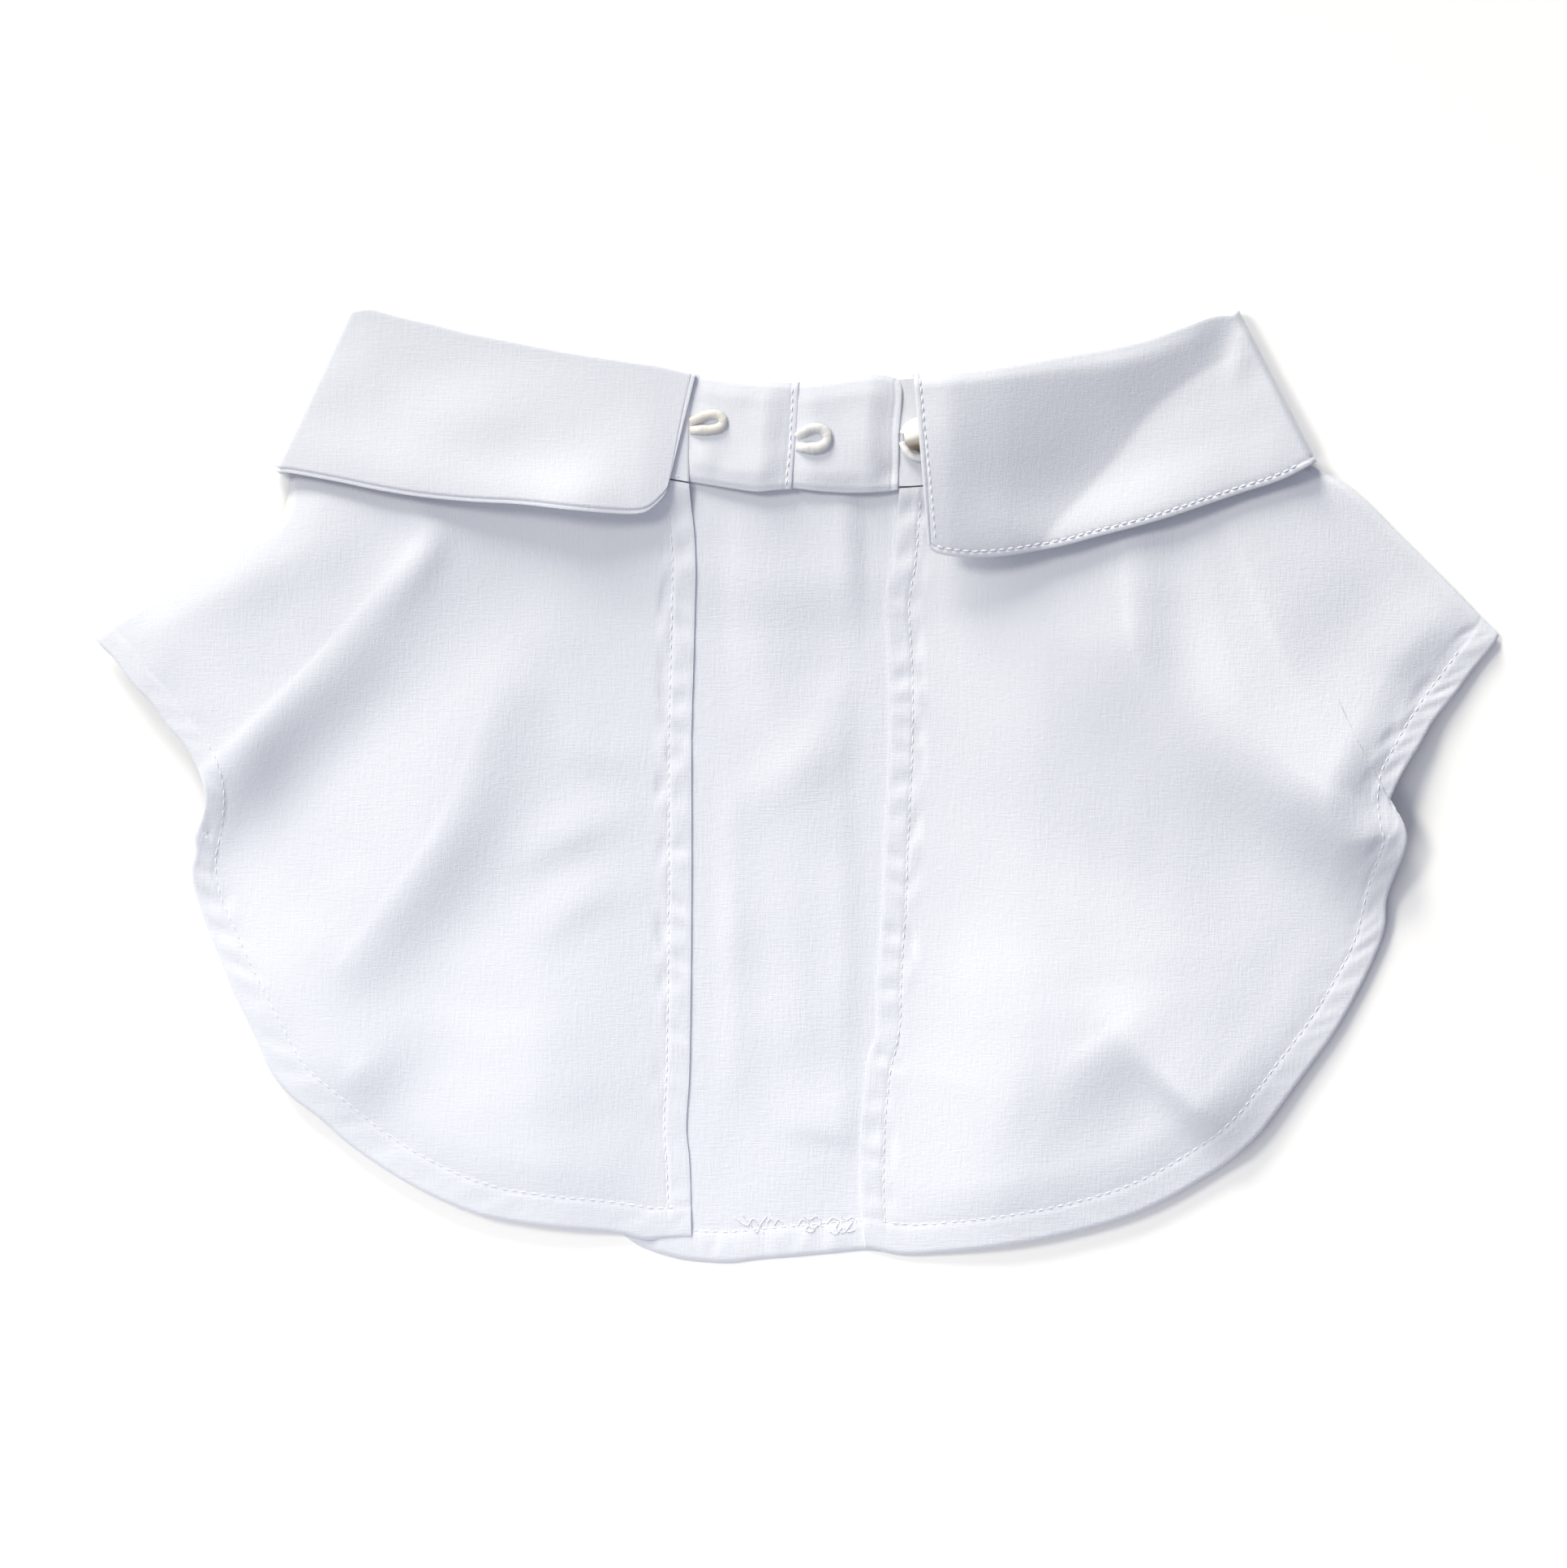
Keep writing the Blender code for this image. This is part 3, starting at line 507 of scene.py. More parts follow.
def hollow(x, y):
    """Height of the right half of the fall over the line it drops to."""
    d, _ = nearest(x, y, HOLLOW)
    p, _ = fine(HOLLOW)
    over = y - np.interp(x, p[:, 0], p[:, 1], left=-1e3)
    over = np.where(x < p[0, 0], 1.0, over)
    t = np.clip(np.sqrt(d * d + 1.3**2) - 1.3, 0.0, 34.0) / 34.0
    prop = 0.088 * d * between(-1.0, 2.0, d) + 5.9 * (t - t**3 / 3)
    far = 0.022 * (np.sqrt(d * d + 1.3**2) - 1.3)
    far = 0.5 - higher(0.5 - far, 0 * far, 0.5)
    return np.where(over > 0, prop, far)


def leaf_back_z(x, y):
    z = higher(MID_Z + LEAF_H - 0.70 + 0 * x, stand_back_z(x) + 0.60)
    lie = between(-23.0, -56.0, x) + between(20.0, 24.0, x)
    z = z + between(0.0, 38.0, top_y(x) - y) * np.where(x > 0, 1.0, 1.7 * between(-21.0, -36.0, x))
    inside = between(0.6, 6.0, top_y(x) - y) * lie
    z = z + (folds_at(x, y, LEAF_FOLDS) + rumple(x, y, 43, 0.13)) * inside
    right = between(20.0, 24.0, x)
    z = z + hollow(x, y) * right * (0.86 + 0.14 * between(0.0, 4.0, top_y(x) - y)) * (1 - between(88.0, 104.0, x))
    z = z + right * (0.7 + 1.9 * (1 - between(P(1150, 0)[0], P(1360, 0)[0], x)))
    z = z + 0.8 * right * bell(x - P(1168, 0)[0], 18.0) * between(P(0, 700)[1], P(0, 555)[1], y)
    over_pearl = -0.7 * (1 - between(0.0, 7.5, x - P(1133, 0)[0])) + 0.25 * bell(x - PEARL[0] - 3.0, 7.5) * bell(y - PEARL[1], 8.5)
    z = higher(z + over_pearl * right, back_base_z(x, y) + 0.85)
    return z


# ---- meshes -------------------------------------------------------------------------------
def normals(g):
    du = np.gradient(g, axis=0)
    dv = np.gradient(g, axis=1)
    n = np.cross(dv, du)
    n /= np.linalg.norm(n, axis=2)[..., None]
    return n


def shell(name, g, up, down, flip=False):
    """A closed cloth shell: grid g, with its upper side up and its under side
    down from it, both in mm along the normal."""
    n = normals(g)
    if flip:
        n = -n
    top, bottom = g + n * up[..., None], g - n * down[..., None]
    a, b = g.shape[:2]
    verts = np.concatenate([top.reshape(-1, 3), bottom.reshape(-1, 3)]) * 0.001
    i, j = np.meshgrid(np.arange(a - 1), np.arange(b - 1), indexing="ij")
    q = (i * b + j).ravel()
    quad = np.stack([q, q + 1, q + b + 1, q + b], 1)
    off = a * b
    faces = [quad, quad[:, ::-1] + off]
    for line in (
        np.arange(b), (a - 1) * b + np.arange(b)[::-1],
    ):
        s, e = line[:-1], line[1:]
        faces.append(np.stack([e, s, s + off, e + off], 1))
    for line in (np.arange(a)[::-1] * b, np.arange(a) * b + b - 1):
        s, e = line[:-1], line[1:]
        faces.append(np.stack([e, s, s + off, e + off], 1))
    faces = np.concatenate(faces)
    if flip:
        faces = faces[:, ::-1]
    return mesh_object(name, verts, faces)


def mesh_object(name, verts, faces, smooth=True):
    mesh = bpy.data.meshes.new(name)
    faces = np.asarray(faces)
    mesh.vertices.add(len(verts))
    mesh.vertices.foreach_set("co", np.asarray(verts, np.float32).ravel())
    k = faces.shape[1]
    mesh.loops.add(len(faces) * k)
    mesh.loops.foreach_set("vertex_index", faces.astype(np.int32).ravel())
    mesh.polygons.add(len(faces))
    mesh.polygons.foreach_set("loop_start", np.arange(0, len(faces) * k, k, dtype=np.int32))
    mesh.update(calc_edges=True)
    mesh.validate()
    if smooth:
        mesh.shade_smooth()
        mesh.set_sharp_from_angle(angle=math.radians(38))
    obj = bpy.data.objects.new(name, mesh)
    bpy.context.scene.collection.objects.link(obj)
    return obj


def rounded(d, thickness, radius):
    """Half thickness at distance d from a free edge, rounded at the edge."""
    t = np.clip(d / radius, 0.0, 1.0)
    return thickness / 2 * np.sqrt(np.clip(1 - (1 - t) ** 2, 0.12, 1.0))


def tube(name_parts, centre, radius, sides=12, flat=None, ribs_n=0, rib_depth=0.0, rib_pitch=1.0):
    """Vertices and quads of a tube along 3-D points with closed ends."""
    c = np.asarray(centre, float)
    t = np.gradient(c, axis=0)
    t /= np.linalg.norm(t, axis=1)[:, None]
    up = np.array([0.0, 0.0, 1.0])
    side = np.cross(t, up)
    side /= np.maximum(np.linalg.norm(side, axis=1), 1e-6)[:, None]
    lift = np.cross(side, t)
    run = np.concatenate([[0], np.cumsum(np.linalg.norm(np.diff(c, axis=0), axis=1))])
    ang = np.linspace(0, 2 * math.pi, sides, endpoint=False)
    r = np.broadcast_to(np.asarray(radius, float), (len(c),))[:, None] * np.ones(sides)[None]
    if ribs_n:
        r = r * (1 + rib_depth * np.cos(ribs_n * (ang[None] - 2 * math.pi * run[:, None] / rib_pitch / ribs_n)))
    squash = np.ones(len(c)) if flat is None else flat
    v = (
        c[:, None]
        + side[:, None] * (np.cos(ang)[None] * r)[..., None]
        + lift[:, None] * (np.sin(ang)[None] * r * squash[:, None])[..., None]
    )
    n = len(c)
    k = np.arange(sides)
    k2 = (k + 1) % sides
    quads = [np.stack([i * sides + k, i * sides + k2, (i + 1) * sides + k2, (i + 1) * sides + k], 1) for i in range(n - 1)]
    quads = np.concatenate(quads)
    verts = np.vstack([v.reshape(-1, 3), c[:1], c[-1:]])
    first, last = n * sides, n * sides + 1
    caps = np.concatenate(
        [np.stack([np.full(sides, first), k2, k, np.full(sides, first)], 1),
         np.stack([np.full(sides, last), (n - 1) * sides + k, (n - 1) * sides + k2, np.full(sides, last)], 1)]
    )
    return verts, quads, caps


def tube_object(name, pieces):
    """One mesh of several tubes."""
    verts, quads, tris, base = [], [], [], 0
    for v, q, c in pieces:
        verts.append(v)
        quads.append(q + base)
        tris.append(c[:, :3] + base)
        base += len(v)
    verts = np.vstack(verts) * 0.001
    quads, tris = np.vstack(quads), np.vstack(tris)
    mesh = bpy.data.meshes.new(name)
    mesh.from_pydata(verts.tolist(), [], quads.tolist() + tris.tolist())
    mesh.update()
    mesh.shade_smooth()
    obj = bpy.data.objects.new(name, mesh)
    bpy.context.scene.collection.objects.link(obj)
    return obj


def stitches(path, surface, length=1.7, gap=0.5, radius=0.13, start=0.0, end=None, seed=1, lift=0.06, sink=0.09):
    """Thread stitches along a plan path, lying on surface(x, y)."""
    p, run = fine(path)
    r = np.random.RandomState(seed)
    out, s = [], start
    end = run[-1] if end is None else end
    spots = []
    while s + length < end:
        spots.append((s, s + length * r.uniform(0.92, 1.05), r.normal(0, 0.04, 2)))
        s += length + gap
    if not spots:
        return out
    m = 7
    f = np.linspace(0, 1, m)
    at = np.array([a + (b - a) * f for a, b, _ in spots])
    x = np.interp(at, run, p[:, 0]) + np.array([j[0] for _, _, j in spots])[:, None]
    y = np.interp(at, run, p[:, 1]) + np.array([j[1] for _, _, j in spots])[:, None]
    z = surface(x, y)
    arch = np.sin(np.pi * f)
    z = z + lift * arch - sink * (1 - arch)
    rad = radius * (0.55 + 0.45 * arch**0.5)
    for k in range(len(spots)):
        out.append(tube(None, np.stack([x[k], y[k], z[k]], 1), rad, sides=6))
    return out


# ---- materials -------------------------------------------------------------------------
def new_material(name):
    m = bpy.data.materials.new(name)
    m.use_nodes = True
    nt = m.node_tree
    nt.nodes.clear()
    out = nt.nodes.new("ShaderNodeOutputMaterial")
    bsdf = nt.nodes.new("ShaderNodeBsdfPrincipled")
    nt.links.new(bsdf.outputs[0], out.inputs[0])
    return m, nt, bsdf


def cloth_material(name, colour, bump=0.18, angle=0.0, twill=True, variation=0.012):
    """Fine shirting: two thread directions, a faint twill line, slight mottling."""
    m, nt, bsdf = new_material(name)
    N, L = nt.nodes.new, nt.links.new
    coord = N("ShaderNodeTexCoord")
    mapping = N("ShaderNodeMapping")
    mapping.inputs["Rotation"].default_value = (0, 0, angle)
    L(coord.outputs["Object"], mapping.inputs["Vector"])

    def threads(stretch, scale, turn):
        """Noise drawn out along one thread direction."""
        m2 = N("ShaderNodeMapping")
        m2.inputs["Rotation"].default_value = (0, 0, turn)
        m2.inputs["Scale"].default_value = stretch
        L(mapping.outputs[0], m2.inputs["Vector"])
        n = N("ShaderNodeTexNoise")
        n.inputs["Scale"].default_value = scale
        n.inputs["Detail"].default_value = 2.0
        L(m2.outputs[0], n.inputs["Vector"])
        return n.outputs["Fac"]

    def mixed(a, b, factor):
        k = N("ShaderNodeMath")
        k.operation = "MULTIPLY_ADD"
        k.inputs[1].default_value = factor
        L(b, k.inputs[0])
        L(a, k.inputs[2])
        return k.outputs[0]

    height = mixed(threads((1.0, 0.10, 1.0), 3000.0, 0.0), threads((0.10, 1.0, 1.0), 3000.0, 0.0), 1.0)
    if twill:
        height = mixed(height, threads((1.0, 0.12, 1.0), 1500.0, 0.8), 0.9)
    height = mixed(height, threads((1.0, 1.0, 1.0), 900.0, 0.0), 0.6)
    bn = N("ShaderNodeBump")
    bn.inputs["Strength"].default_value = bump
    bn.inputs["Distance"].default_value = 0.0004
    L(height, bn.inputs["Height"])
    # slow rumple, the faint unevenness of pressed cloth
    rumple = N("ShaderNodeTexNoise")
    rumple.inputs["Scale"].default_value = 60.0
    rumple.inputs["Detail"].default_value = 2.0
    L(coord.outputs["Object"], rumple.inputs["Vector"])
    bn2 = N("ShaderNodeBump")
    bn2.inputs["Strength"].default_value = 0.10
    bn2.inputs["Distance"].default_value = 0.0010
    L(rumple.outputs["Fac"], bn2.inputs["Height"])
    L(bn.outputs[0], bn2.inputs["Normal"])
    L(bn2.outputs[0], bsdf.inputs["Normal"])
    # colour: a little unevenness between threads and over the cloth
    ramp = N("ShaderNodeMapRange")
    ramp.inputs["From Min"].default_value = 0.25
    ramp.inputs["From Max"].default_value = 0.75
    ramp.inputs["To Min"].default_value = 1.0 - variation
    ramp.inputs["To Max"].default_value = 1.0 + variation
    mott = N("ShaderNodeTexNoise")
    mott.inputs["Scale"].default_value = 28.0
    mott.inputs["Detail"].default_value = 4.0
    L(coord.outputs["Object"], mott.inputs["Vector"])
    L(mott.outputs["Fac"], ramp.inputs["Value"])
    hsv = N("ShaderNodeHueSaturation")
    hsv.inputs["Color"].default_value = (*colour, 1)
    L(ramp.outputs[0], hsv.inputs["Value"])
    L(hsv.outputs[0], bsdf.inputs["Base Color"])
    bsdf.inputs["Roughness"].default_value = 0.82
    bsdf.inputs["Specular IOR Level"].default_value = 0.25
    bsdf.inputs["Sheen Weight"].default_value = 0.12
    bsdf.inputs["Sheen Roughness"].default_value = 0.45
    return m


def thread_material(name, colour):
    m, nt, bsdf = new_material(name)
    N, L = nt.nodes.new, nt.links.new
    coord = N("ShaderNodeTexCoord")
    noise = N("ShaderNodeTexNoise")
    noise.inputs["Scale"].default_value = 2500.0
    noise.inputs["Detail"].default_value = 2.0
    L(coord.outputs["Object"], noise.inputs["Vector"])
    bn = N("ShaderNodeBump")
    bn.inputs["Strength"].default_value = 0.35
    bn.inputs["Distance"].default_value = 0.0001
    L(noise.outputs["Fac"], bn.inputs["Height"])
    L(bn.outputs[0], bsdf.inputs["Normal"])
    ramp = N("ShaderNodeMapRange")
    ramp.inputs["To Min"].default_value = 0.94
    ramp.inputs["To Max"].default_value = 1.05
    L(noise.outputs["Fac"], ramp.inputs["Value"])
    hsv = N("ShaderNodeHueSaturation")
    hsv.inputs["Color"].default_value = (*colour, 1)
    L(ramp.outputs[0], hsv.inputs["Value"])
    L(hsv.outputs[0], bsdf.inputs["Base Color"])
    bsdf.inputs["Roughness"].default_value = 0.6
    bsdf.inputs["Sheen Weight"].default_value = 0.2
    return m


def painted_reflection_pearl_material():
    """Pearl lacquer with a painted reflection in its base colour: white at the top of the dome,
    running to a painted brown shade at its near foot, where it mirrors the dark of the room."""
    m, nt, bsdf = new_material("pearl")
    N, L = nt.nodes.new, nt.links.new
    coord = N("ShaderNodeTexCoord")
    noise = N("ShaderNodeTexNoise")
    noise.inputs["Scale"].default_value = 350.0
    noise.inputs["Detail"].default_value = 3.0
    L(coord.outputs["Object"], noise.inputs["Vector"])
    split = N("ShaderNodeSeparateXYZ")
    L(coord.outputs["Normal"], split.inputs[0])
    lean = N("ShaderNodeMath")
    lean.operation = "MULTIPLY_ADD"
    lean.inputs[1].default_value = 0.30
    lean.inputs[2].default_value = 0.0
    L(split.outputs["X"], lean.inputs[0])
    turn = N("ShaderNodeMath")
    turn.operation = "MULTIPLY_ADD"
    turn.inputs[1].default_value = -1.0
    L(lean.outputs[0], turn.inputs[0])
    L(split.outputs["Y"], turn.inputs[2])
    blur = N("ShaderNodeMath")
    blur.operation = "MULTIPLY_ADD"
    blur.inputs[1].default_value = 0.10
    L(noise.outputs["Fac"], blur.inputs[0])
    L(turn.outputs[0], blur.inputs[2])
    place = N("ShaderNodeMapRange")
    place.inputs["From Min"].default_value = -0.95
    place.inputs["From Max"].default_value = 0.85
    L(blur.outputs[0], place.inputs["Value"])
    # painted reflection and shade: the base colour follows which way the surface faces, dark brown facing the bottom of
    # the picture, white facing its top
    ramp = N("ShaderNodeValToRGB")
    ramp.color_ramp.interpolation = "EASE"
    ramp.color_ramp.elements[0].position = 0.04
    ramp.color_ramp.elements[0].color = (0.055, 0.040, 0.028, 1)
    ramp.color_ramp.elements[1].position = 0.24
    ramp.color_ramp.elements[1].color = (0.20, 0.150, 0.105, 1)
    for at, colour in ((0.42, (0.44, 0.395, 0.345, 1)), (0.62, (0.76, 0.74, 0.715, 1)), (0.84, (0.93, 0.93, 0.93, 1))):
        ramp.color_ramp.elements.new(at).color = colour
    L(place.outputs[0], ramp.inputs["Fac"])
    L(ramp.outputs[0], bsdf.inputs["Base Color"])
    bsdf.inputs["Metallic"].default_value = 0.0
    bsdf.inputs["Roughness"].default_value = 0.42
    bsdf.inputs["Specular IOR Level"].default_value = 0.35
    bsdf.inputs["Coat Weight"].default_value = 0.15
    bsdf.inputs["Coat Roughness"].default_value = 0.35
    return m


WHITE = (0.668, 0.687, 0.756)
CLOTH_PANEL = cloth_material("panel_cloth", WHITE)
CLOTH_FRONT = cloth_material("front_cloth", WHITE, bump=0.19)
CLOTH_LEAF = cloth_material("collar_cloth", (0.671, 0.689, 0.756), bump=0.15)
CORD_1 = thread_material("loop_cord_ivory", (0.64, 0.622, 0.592))
CORD_2 = thread_material("loop_cord_white", (0.645, 0.645, 0.65))
CORD_3 = thread_material("loop_cord_bright", (0.79, 0.79, 0.80))
THREAD = thread_material("sewing_thread", (0.735, 0.75, 0.80))
PEARL_PAINTED_REFLECTION_MAT = painted_reflection_pearl_material()


def finish_piece(obj, material, slot, *nodes):
    obj.data.materials.append(material)
    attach(obj, "root")
    if nodes:
        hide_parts(*nodes)
    return obj


# ---- the panels ----------------------------------------------------------------------------
OUTER = {"left": OUTER_LEFT, "right": OUTER_RIGHT}
OPENING = {"left": OPENING_LEFT, "right": OPENING_RIGHT}
SHOULDER = {"left": SHOULDER_LEFT, "right": SHOULDER_RIGHT}
NECK = {"left": NECK_LEFT, "right": NECK_RIGHT[::-1]}
HEM_LINE = {"left": hem_line_left, "right": hem_line_right}
OPEN_LINE = 5.1


def back_z(x, y, side):
    """Middle of a back panel's upper ply, with its hems and puckers."""
    x, y = np.asarray(x, float), np.asarray(y, float)
    z = back_base_z(x, y)
    d, s = nearest(x, y, OUTER[side])
    e, t = nearest(x, y, OPENING[side])
    g, _ = nearest(x, y, SHOULDER[side])
    # outer hem: folds die away a little and the edge settles down
    z = higher(z, front_base_z(x, y) + 0.60)
    z = z - (z - EDGE_Z) * (np.where(x > 0, 0.48, 0.28) + 0.20 * between(-35.0, -85.0, y)) * (1 - between(0.0, 15.0, d))
    z = z - 0.08 * (z - EDGE_Z) * (1 - between(0.0, 9.0, g))
    below = neck_y(x) - y
    down = (1 - between(0.0, 36.0, e)) * between(0.0, 9.0, below)
    gap = OPEN_GAP + 0.10 * between(-98.0, -60.0, y)
    z = z - (z - front_base_z(x, y) - gap) * down
    line = HEM_LINE[side](s)
    keep = between(2.0, 8.0, d)
    hold = np.full_like(e, OPEN_LINE)
    z = z + hem_profile(d, line, 0.09, 0.20, 0.10) + PUCKER[side + "_outer"].height(d, s, line)
    z = z + (hem_profile(e, hold, 0.07, 0.05, 0.06) + PUCKER[side + "_opening"].height(e, t, hold)) * keep * between(-0.5, 1.0, below)
    z = higher(z, front_base_z(x, y) + 0.22, 0.12)
    return z - 0.9 * (1 - between(0.0, 2.2, g)) ** 2


def panel_back(side):
    neck = [(x, y - 0.3) for x, y in NECK[side]]
    neck[0], neck[-1] = SHOULDER[side][0], OPENING[side][0]
    u = spaced(236, (1.0, 0.035, 3.0), (0.97, 0.03, 1.5))
    v = spaced(150, (1.0, 0.06, 2.6), (0.0, 0.02, 1.5))
    xy = patch(neck, OUTER[side], SHOULDER[side], OPENING[side], u, v)
    z = back_z(xy[..., 0], xy[..., 1], side)
    d, _ = nearest(xy[..., 0], xy[..., 1], OUTER[side])
    e, _ = nearest(xy[..., 0], xy[..., 1], OPENING[side])
    edge = np.minimum(d, e)
    g = np.concatenate([xy, z[..., None]], axis=2)
    half = np.where(e < d, PLY / 2, rounded(edge, PLY, 0.2))
    hem = 0.16 * (1 - between(-0.6, 0.8, d - 6.0)) * between(6.0, 12.0, e)
    return shell("back_panel_" + side + "_cloth", g, half, half + hem * between(0.0, 1.0, edge), flip=(side == "right"))


def front_z(x, y):
    x, y = np.asarray(x, float), np.asarray(y, float)
    z = front_base_z(x, y)
    d, s = nearest(x, y, FRONT_OUTER)
    line = np.full_like(d, 6.9)
    z = z + hem_profile(d, line, 0.12) + PUCKER["front_hem"].height(d, s, line)
    # it meets the back panels along the shoulder seams
    for side in ("left", "right"):
        g, _ = nearest(x, y, SHOULDER[side])
        near = g < 15.0
        if near.any():
            lift = np.maximum(back_z(x[near], y[near], side) - 0.62 - z[near], 0.0)
            z[near] = z[near] + lift * (1 - between(0.5, 15.0, g[near]))
    return z


outer_left = [(x + 0.5, y + 0.1) for x, y in OUTER_LEFT if y > -96.5 and x < -70]
outer_right = [(x - 0.6, y + 0.1) for x, y in OUTER_RIGHT if y > -101.5 and x > 56]
SH_L = [(x + 0.6, y) for x, y in SHOULDER_LEFT]
SH_R = [(x - 0.6, y) for x, y in SHOULDER_RIGHT]
outer_left[0], outer_right[0] = SH_L[-1], SH_R[-1]
FRONT_OUTER = outer_left + FRONT_HEM + outer_right[::-1]


def panel_front():
    _, tips, angles = ribs(
        NECK_LEFT, NECK_RIGHT, FRONT_STAND_HEIGHT, P(849, 0)[0], P(1095, 0)[0],
        ([0.0, 1.0], [0.5], np.linspace(0, 1, 33), [0.5], [0.0, 1.0]),
    )
    seam = tips[angles == math.pi][2:-2]
    neck = [tuple(SH_L[0])] + [(x, y - 0.35) for x, y in seam] + [tuple(SH_R[0])]
    u = spaced(300, (0.5, 0.16, 1.6))
    v = spaced(110, (1.0, 0.06, 2.6))
    xy = patch(neck, FRONT_OUTER, SH_L, SH_R, u, v)
    z = front_z(xy[..., 0], xy[..., 1])
    d, _ = nearest(xy[..., 0], xy[..., 1], FRONT_OUTER)
    g = np.concatenate([xy, z[..., None]], axis=2)
    half = rounded(d, PLY, 0.2)
    hem = 0.2 * (1 - between(-0.4, 0.8, d - 6.5)) * between(0, 1, d)
    low = np.minimum(half + hem, np.maximum(z - 0.03, 0.05))
    return shell("front_panel_cloth", g, half, low)


# ---- the collar --------------------------------------------------------------------------
def turned(roots, tips, angles, reach, back_h, front_h):
    """Points along each rib, turned about it by its angle."""
    way = tips - roots
    way = way / np.linalg.norm(way, axis=1)[:, None]
    out = np.stack([-way[:, 1], way[:, 0]], 1)
    out = np.where((out[:, :1] * roots[:, :1]) < 0, -out, out)
    c, s = np.cos(angles)[:, None], np.sin(angles)[:, None]
    h = np.where(angles[:, None] <= math.pi / 2, back_h, front_h)
    side = np.minimum(back_h, TURN_R)
    xy = roots[:, None] + way[:, None] * reach[..., None] + out[:, None] * (s * side)[..., None]
    return np.concatenate([xy, (MID_Z + c * h)[..., None]], axis=2)


def collar_parts(back, turn, front):
    """Fractions for the five stretches; the ends of the back are closer spaced."""
    b = spaced(back, (0.0, 0.03, 4.0))
    return (b, (np.arange(1, turn) / turn), np.linspace(0, 1, front), (np.arange(1, turn) / turn), 1 - b[::-1])


def leaf_surface():
    roots, tips, angles = ribs(
        LEAF_EDGE_LEFT, LEAF_EDGE_RIGHT, LEAF_DEPTH, P(858, 0)[0], P(1124, 0)[0], collar_parts(120, 16, 70)
    )
    length = np.linalg.norm(tips - roots, axis=1)
    f = spaced(64, (0.0, 0.035, 6.0))
    reach = length[:, None] + (ROLL_START - length[:, None]) * f[None]
    way = (tips - roots) / length[:, None]
    xy = roots[:, None] + way[:, None] * reach[..., None]
    high = leaf_back_z(xy[..., 0], xy[..., 1]) - MID_Z
    g = turned(roots, tips, angles, reach, high, LEAF_H)
    # the roll over the top fold
    k = np.arange(1, 13) / 12
    a = math.pi * k
    low = stand_back_z(roots[:, 0] + way[:, 0] * ROLL_START) - MID_Z
    back_h = low[:, None] + (high[:, -1:] - low[:, None]) * (1 + np.cos(a))[None] / 2
    front_h = STAND_H + (LEAF_H - STAND_H) * (1 + np.cos(a)) / 2
    roll_reach = np.broadcast_to(ROLL_START - ROLL_D * np.sin(a), back_h.shape)
    g2 = turned(roots, tips, angles, roll_reach, back_h, np.broadcast_to(front_h, back_h.shape))
    g = np.concatenate([g, g2], axis=1)
    return g, angles, length, f


def leaf():
    g, angles, length, f = leaf_surface()
    a, b = g.shape[:2]
    # distance in from the fall's lower edge and from its ends, along the cloth
    step = np.linalg.norm(np.diff(g, axis=1), axis=2)
    d = np.concatenate([np.zeros((a, 1)), np.cumsum(step, axis=1)], axis=1)
    step = np.linalg.norm(np.diff(g, axis=0), axis=2)
    across = np.concatenate([np.zeros((1, b)), np.cumsum(step, axis=0)], axis=0)
    left_end, right_end = across, across[-1][None] - across
    is_left = (np.arange(a) < a // 2)[:, None] * np.ones((1, b), bool)
    end = np.minimum(left_end, right_end)
    rim = np.minimum(d, end)
    # left: the upper ply stops short of the under ply, a fine dark line between
    two = np.interp(rim, (0, 0.12, 0.5, 0.75, 0.88, 1.05, 1.4, 2.2), (-0.30, -0.22, -0.20, -0.26, -0.42, -0.10, 0.02, 0.0))
    # right: a stitched edge, rolled outside the stitches
    roll = np.interp(rim, (0, 0.25, 0.8, 1.15, 1.42, 1.7, 2.5), (-0.16, 0.0, 0.06, -0.02, -0.20, -0.06, 0.0))
    two = two * np.where(end < d, 0.35, 0.85)
    relief = np.where(is_left, two, roll)
    puck = 0.05 * np.sin(across * 2.9 + 1.3 * np.sin(across * 0.7)) * bell(rim - 1.4, 1.2) * ~is_left
    half = FALL / 2 * np.sqrt(np.clip(1 - (1 - np.clip(rim / 0.22, 0, 1)) ** 2, 0.06, 1))
    up = FALL / 2 + relief + puck
    up = np.maximum(up, 0.05)
    obj = shell("collar_fall_cloth", g, up, half, flip=False)
    return obj, g, up


def stand():
    roots, tips, angles = ribs(
        NECK_LEFT, NECK_RIGHT, FRONT_STAND_HEIGHT, P(849.5, 0)[0], P(1095, 0)[0], collar_parts(90, 12, 60)
    )
    length = np.linalg.norm(tips - roots, axis=1)
    f = spaced(26, (0.0, 0.05, 3.0))
    reach = length[:, None] + (STAND_TOP - length[:, None]) * f[None]
    back_h = (stand_back_z(roots[:, 0]) - MID_Z)[:, None] * np.ones_like(reach)
    g = turned(roots, tips, angles, reach, back_h, STAND_H)
    step = np.linalg.norm(np.diff(g, axis=0), axis=2)
    across = np.concatenate([np.zeros((1, g.shape[1])), np.cumsum(step, axis=0)], axis=0)
    end = np.minimum(across, across[-1][None] - across)
    half = rounded(end, BAND, 0.3)
    puff = 0.12 * bell(end - 3.0, 2.0)
    return shell("collar_stand_cloth", g, half + puff * 0.5, half)


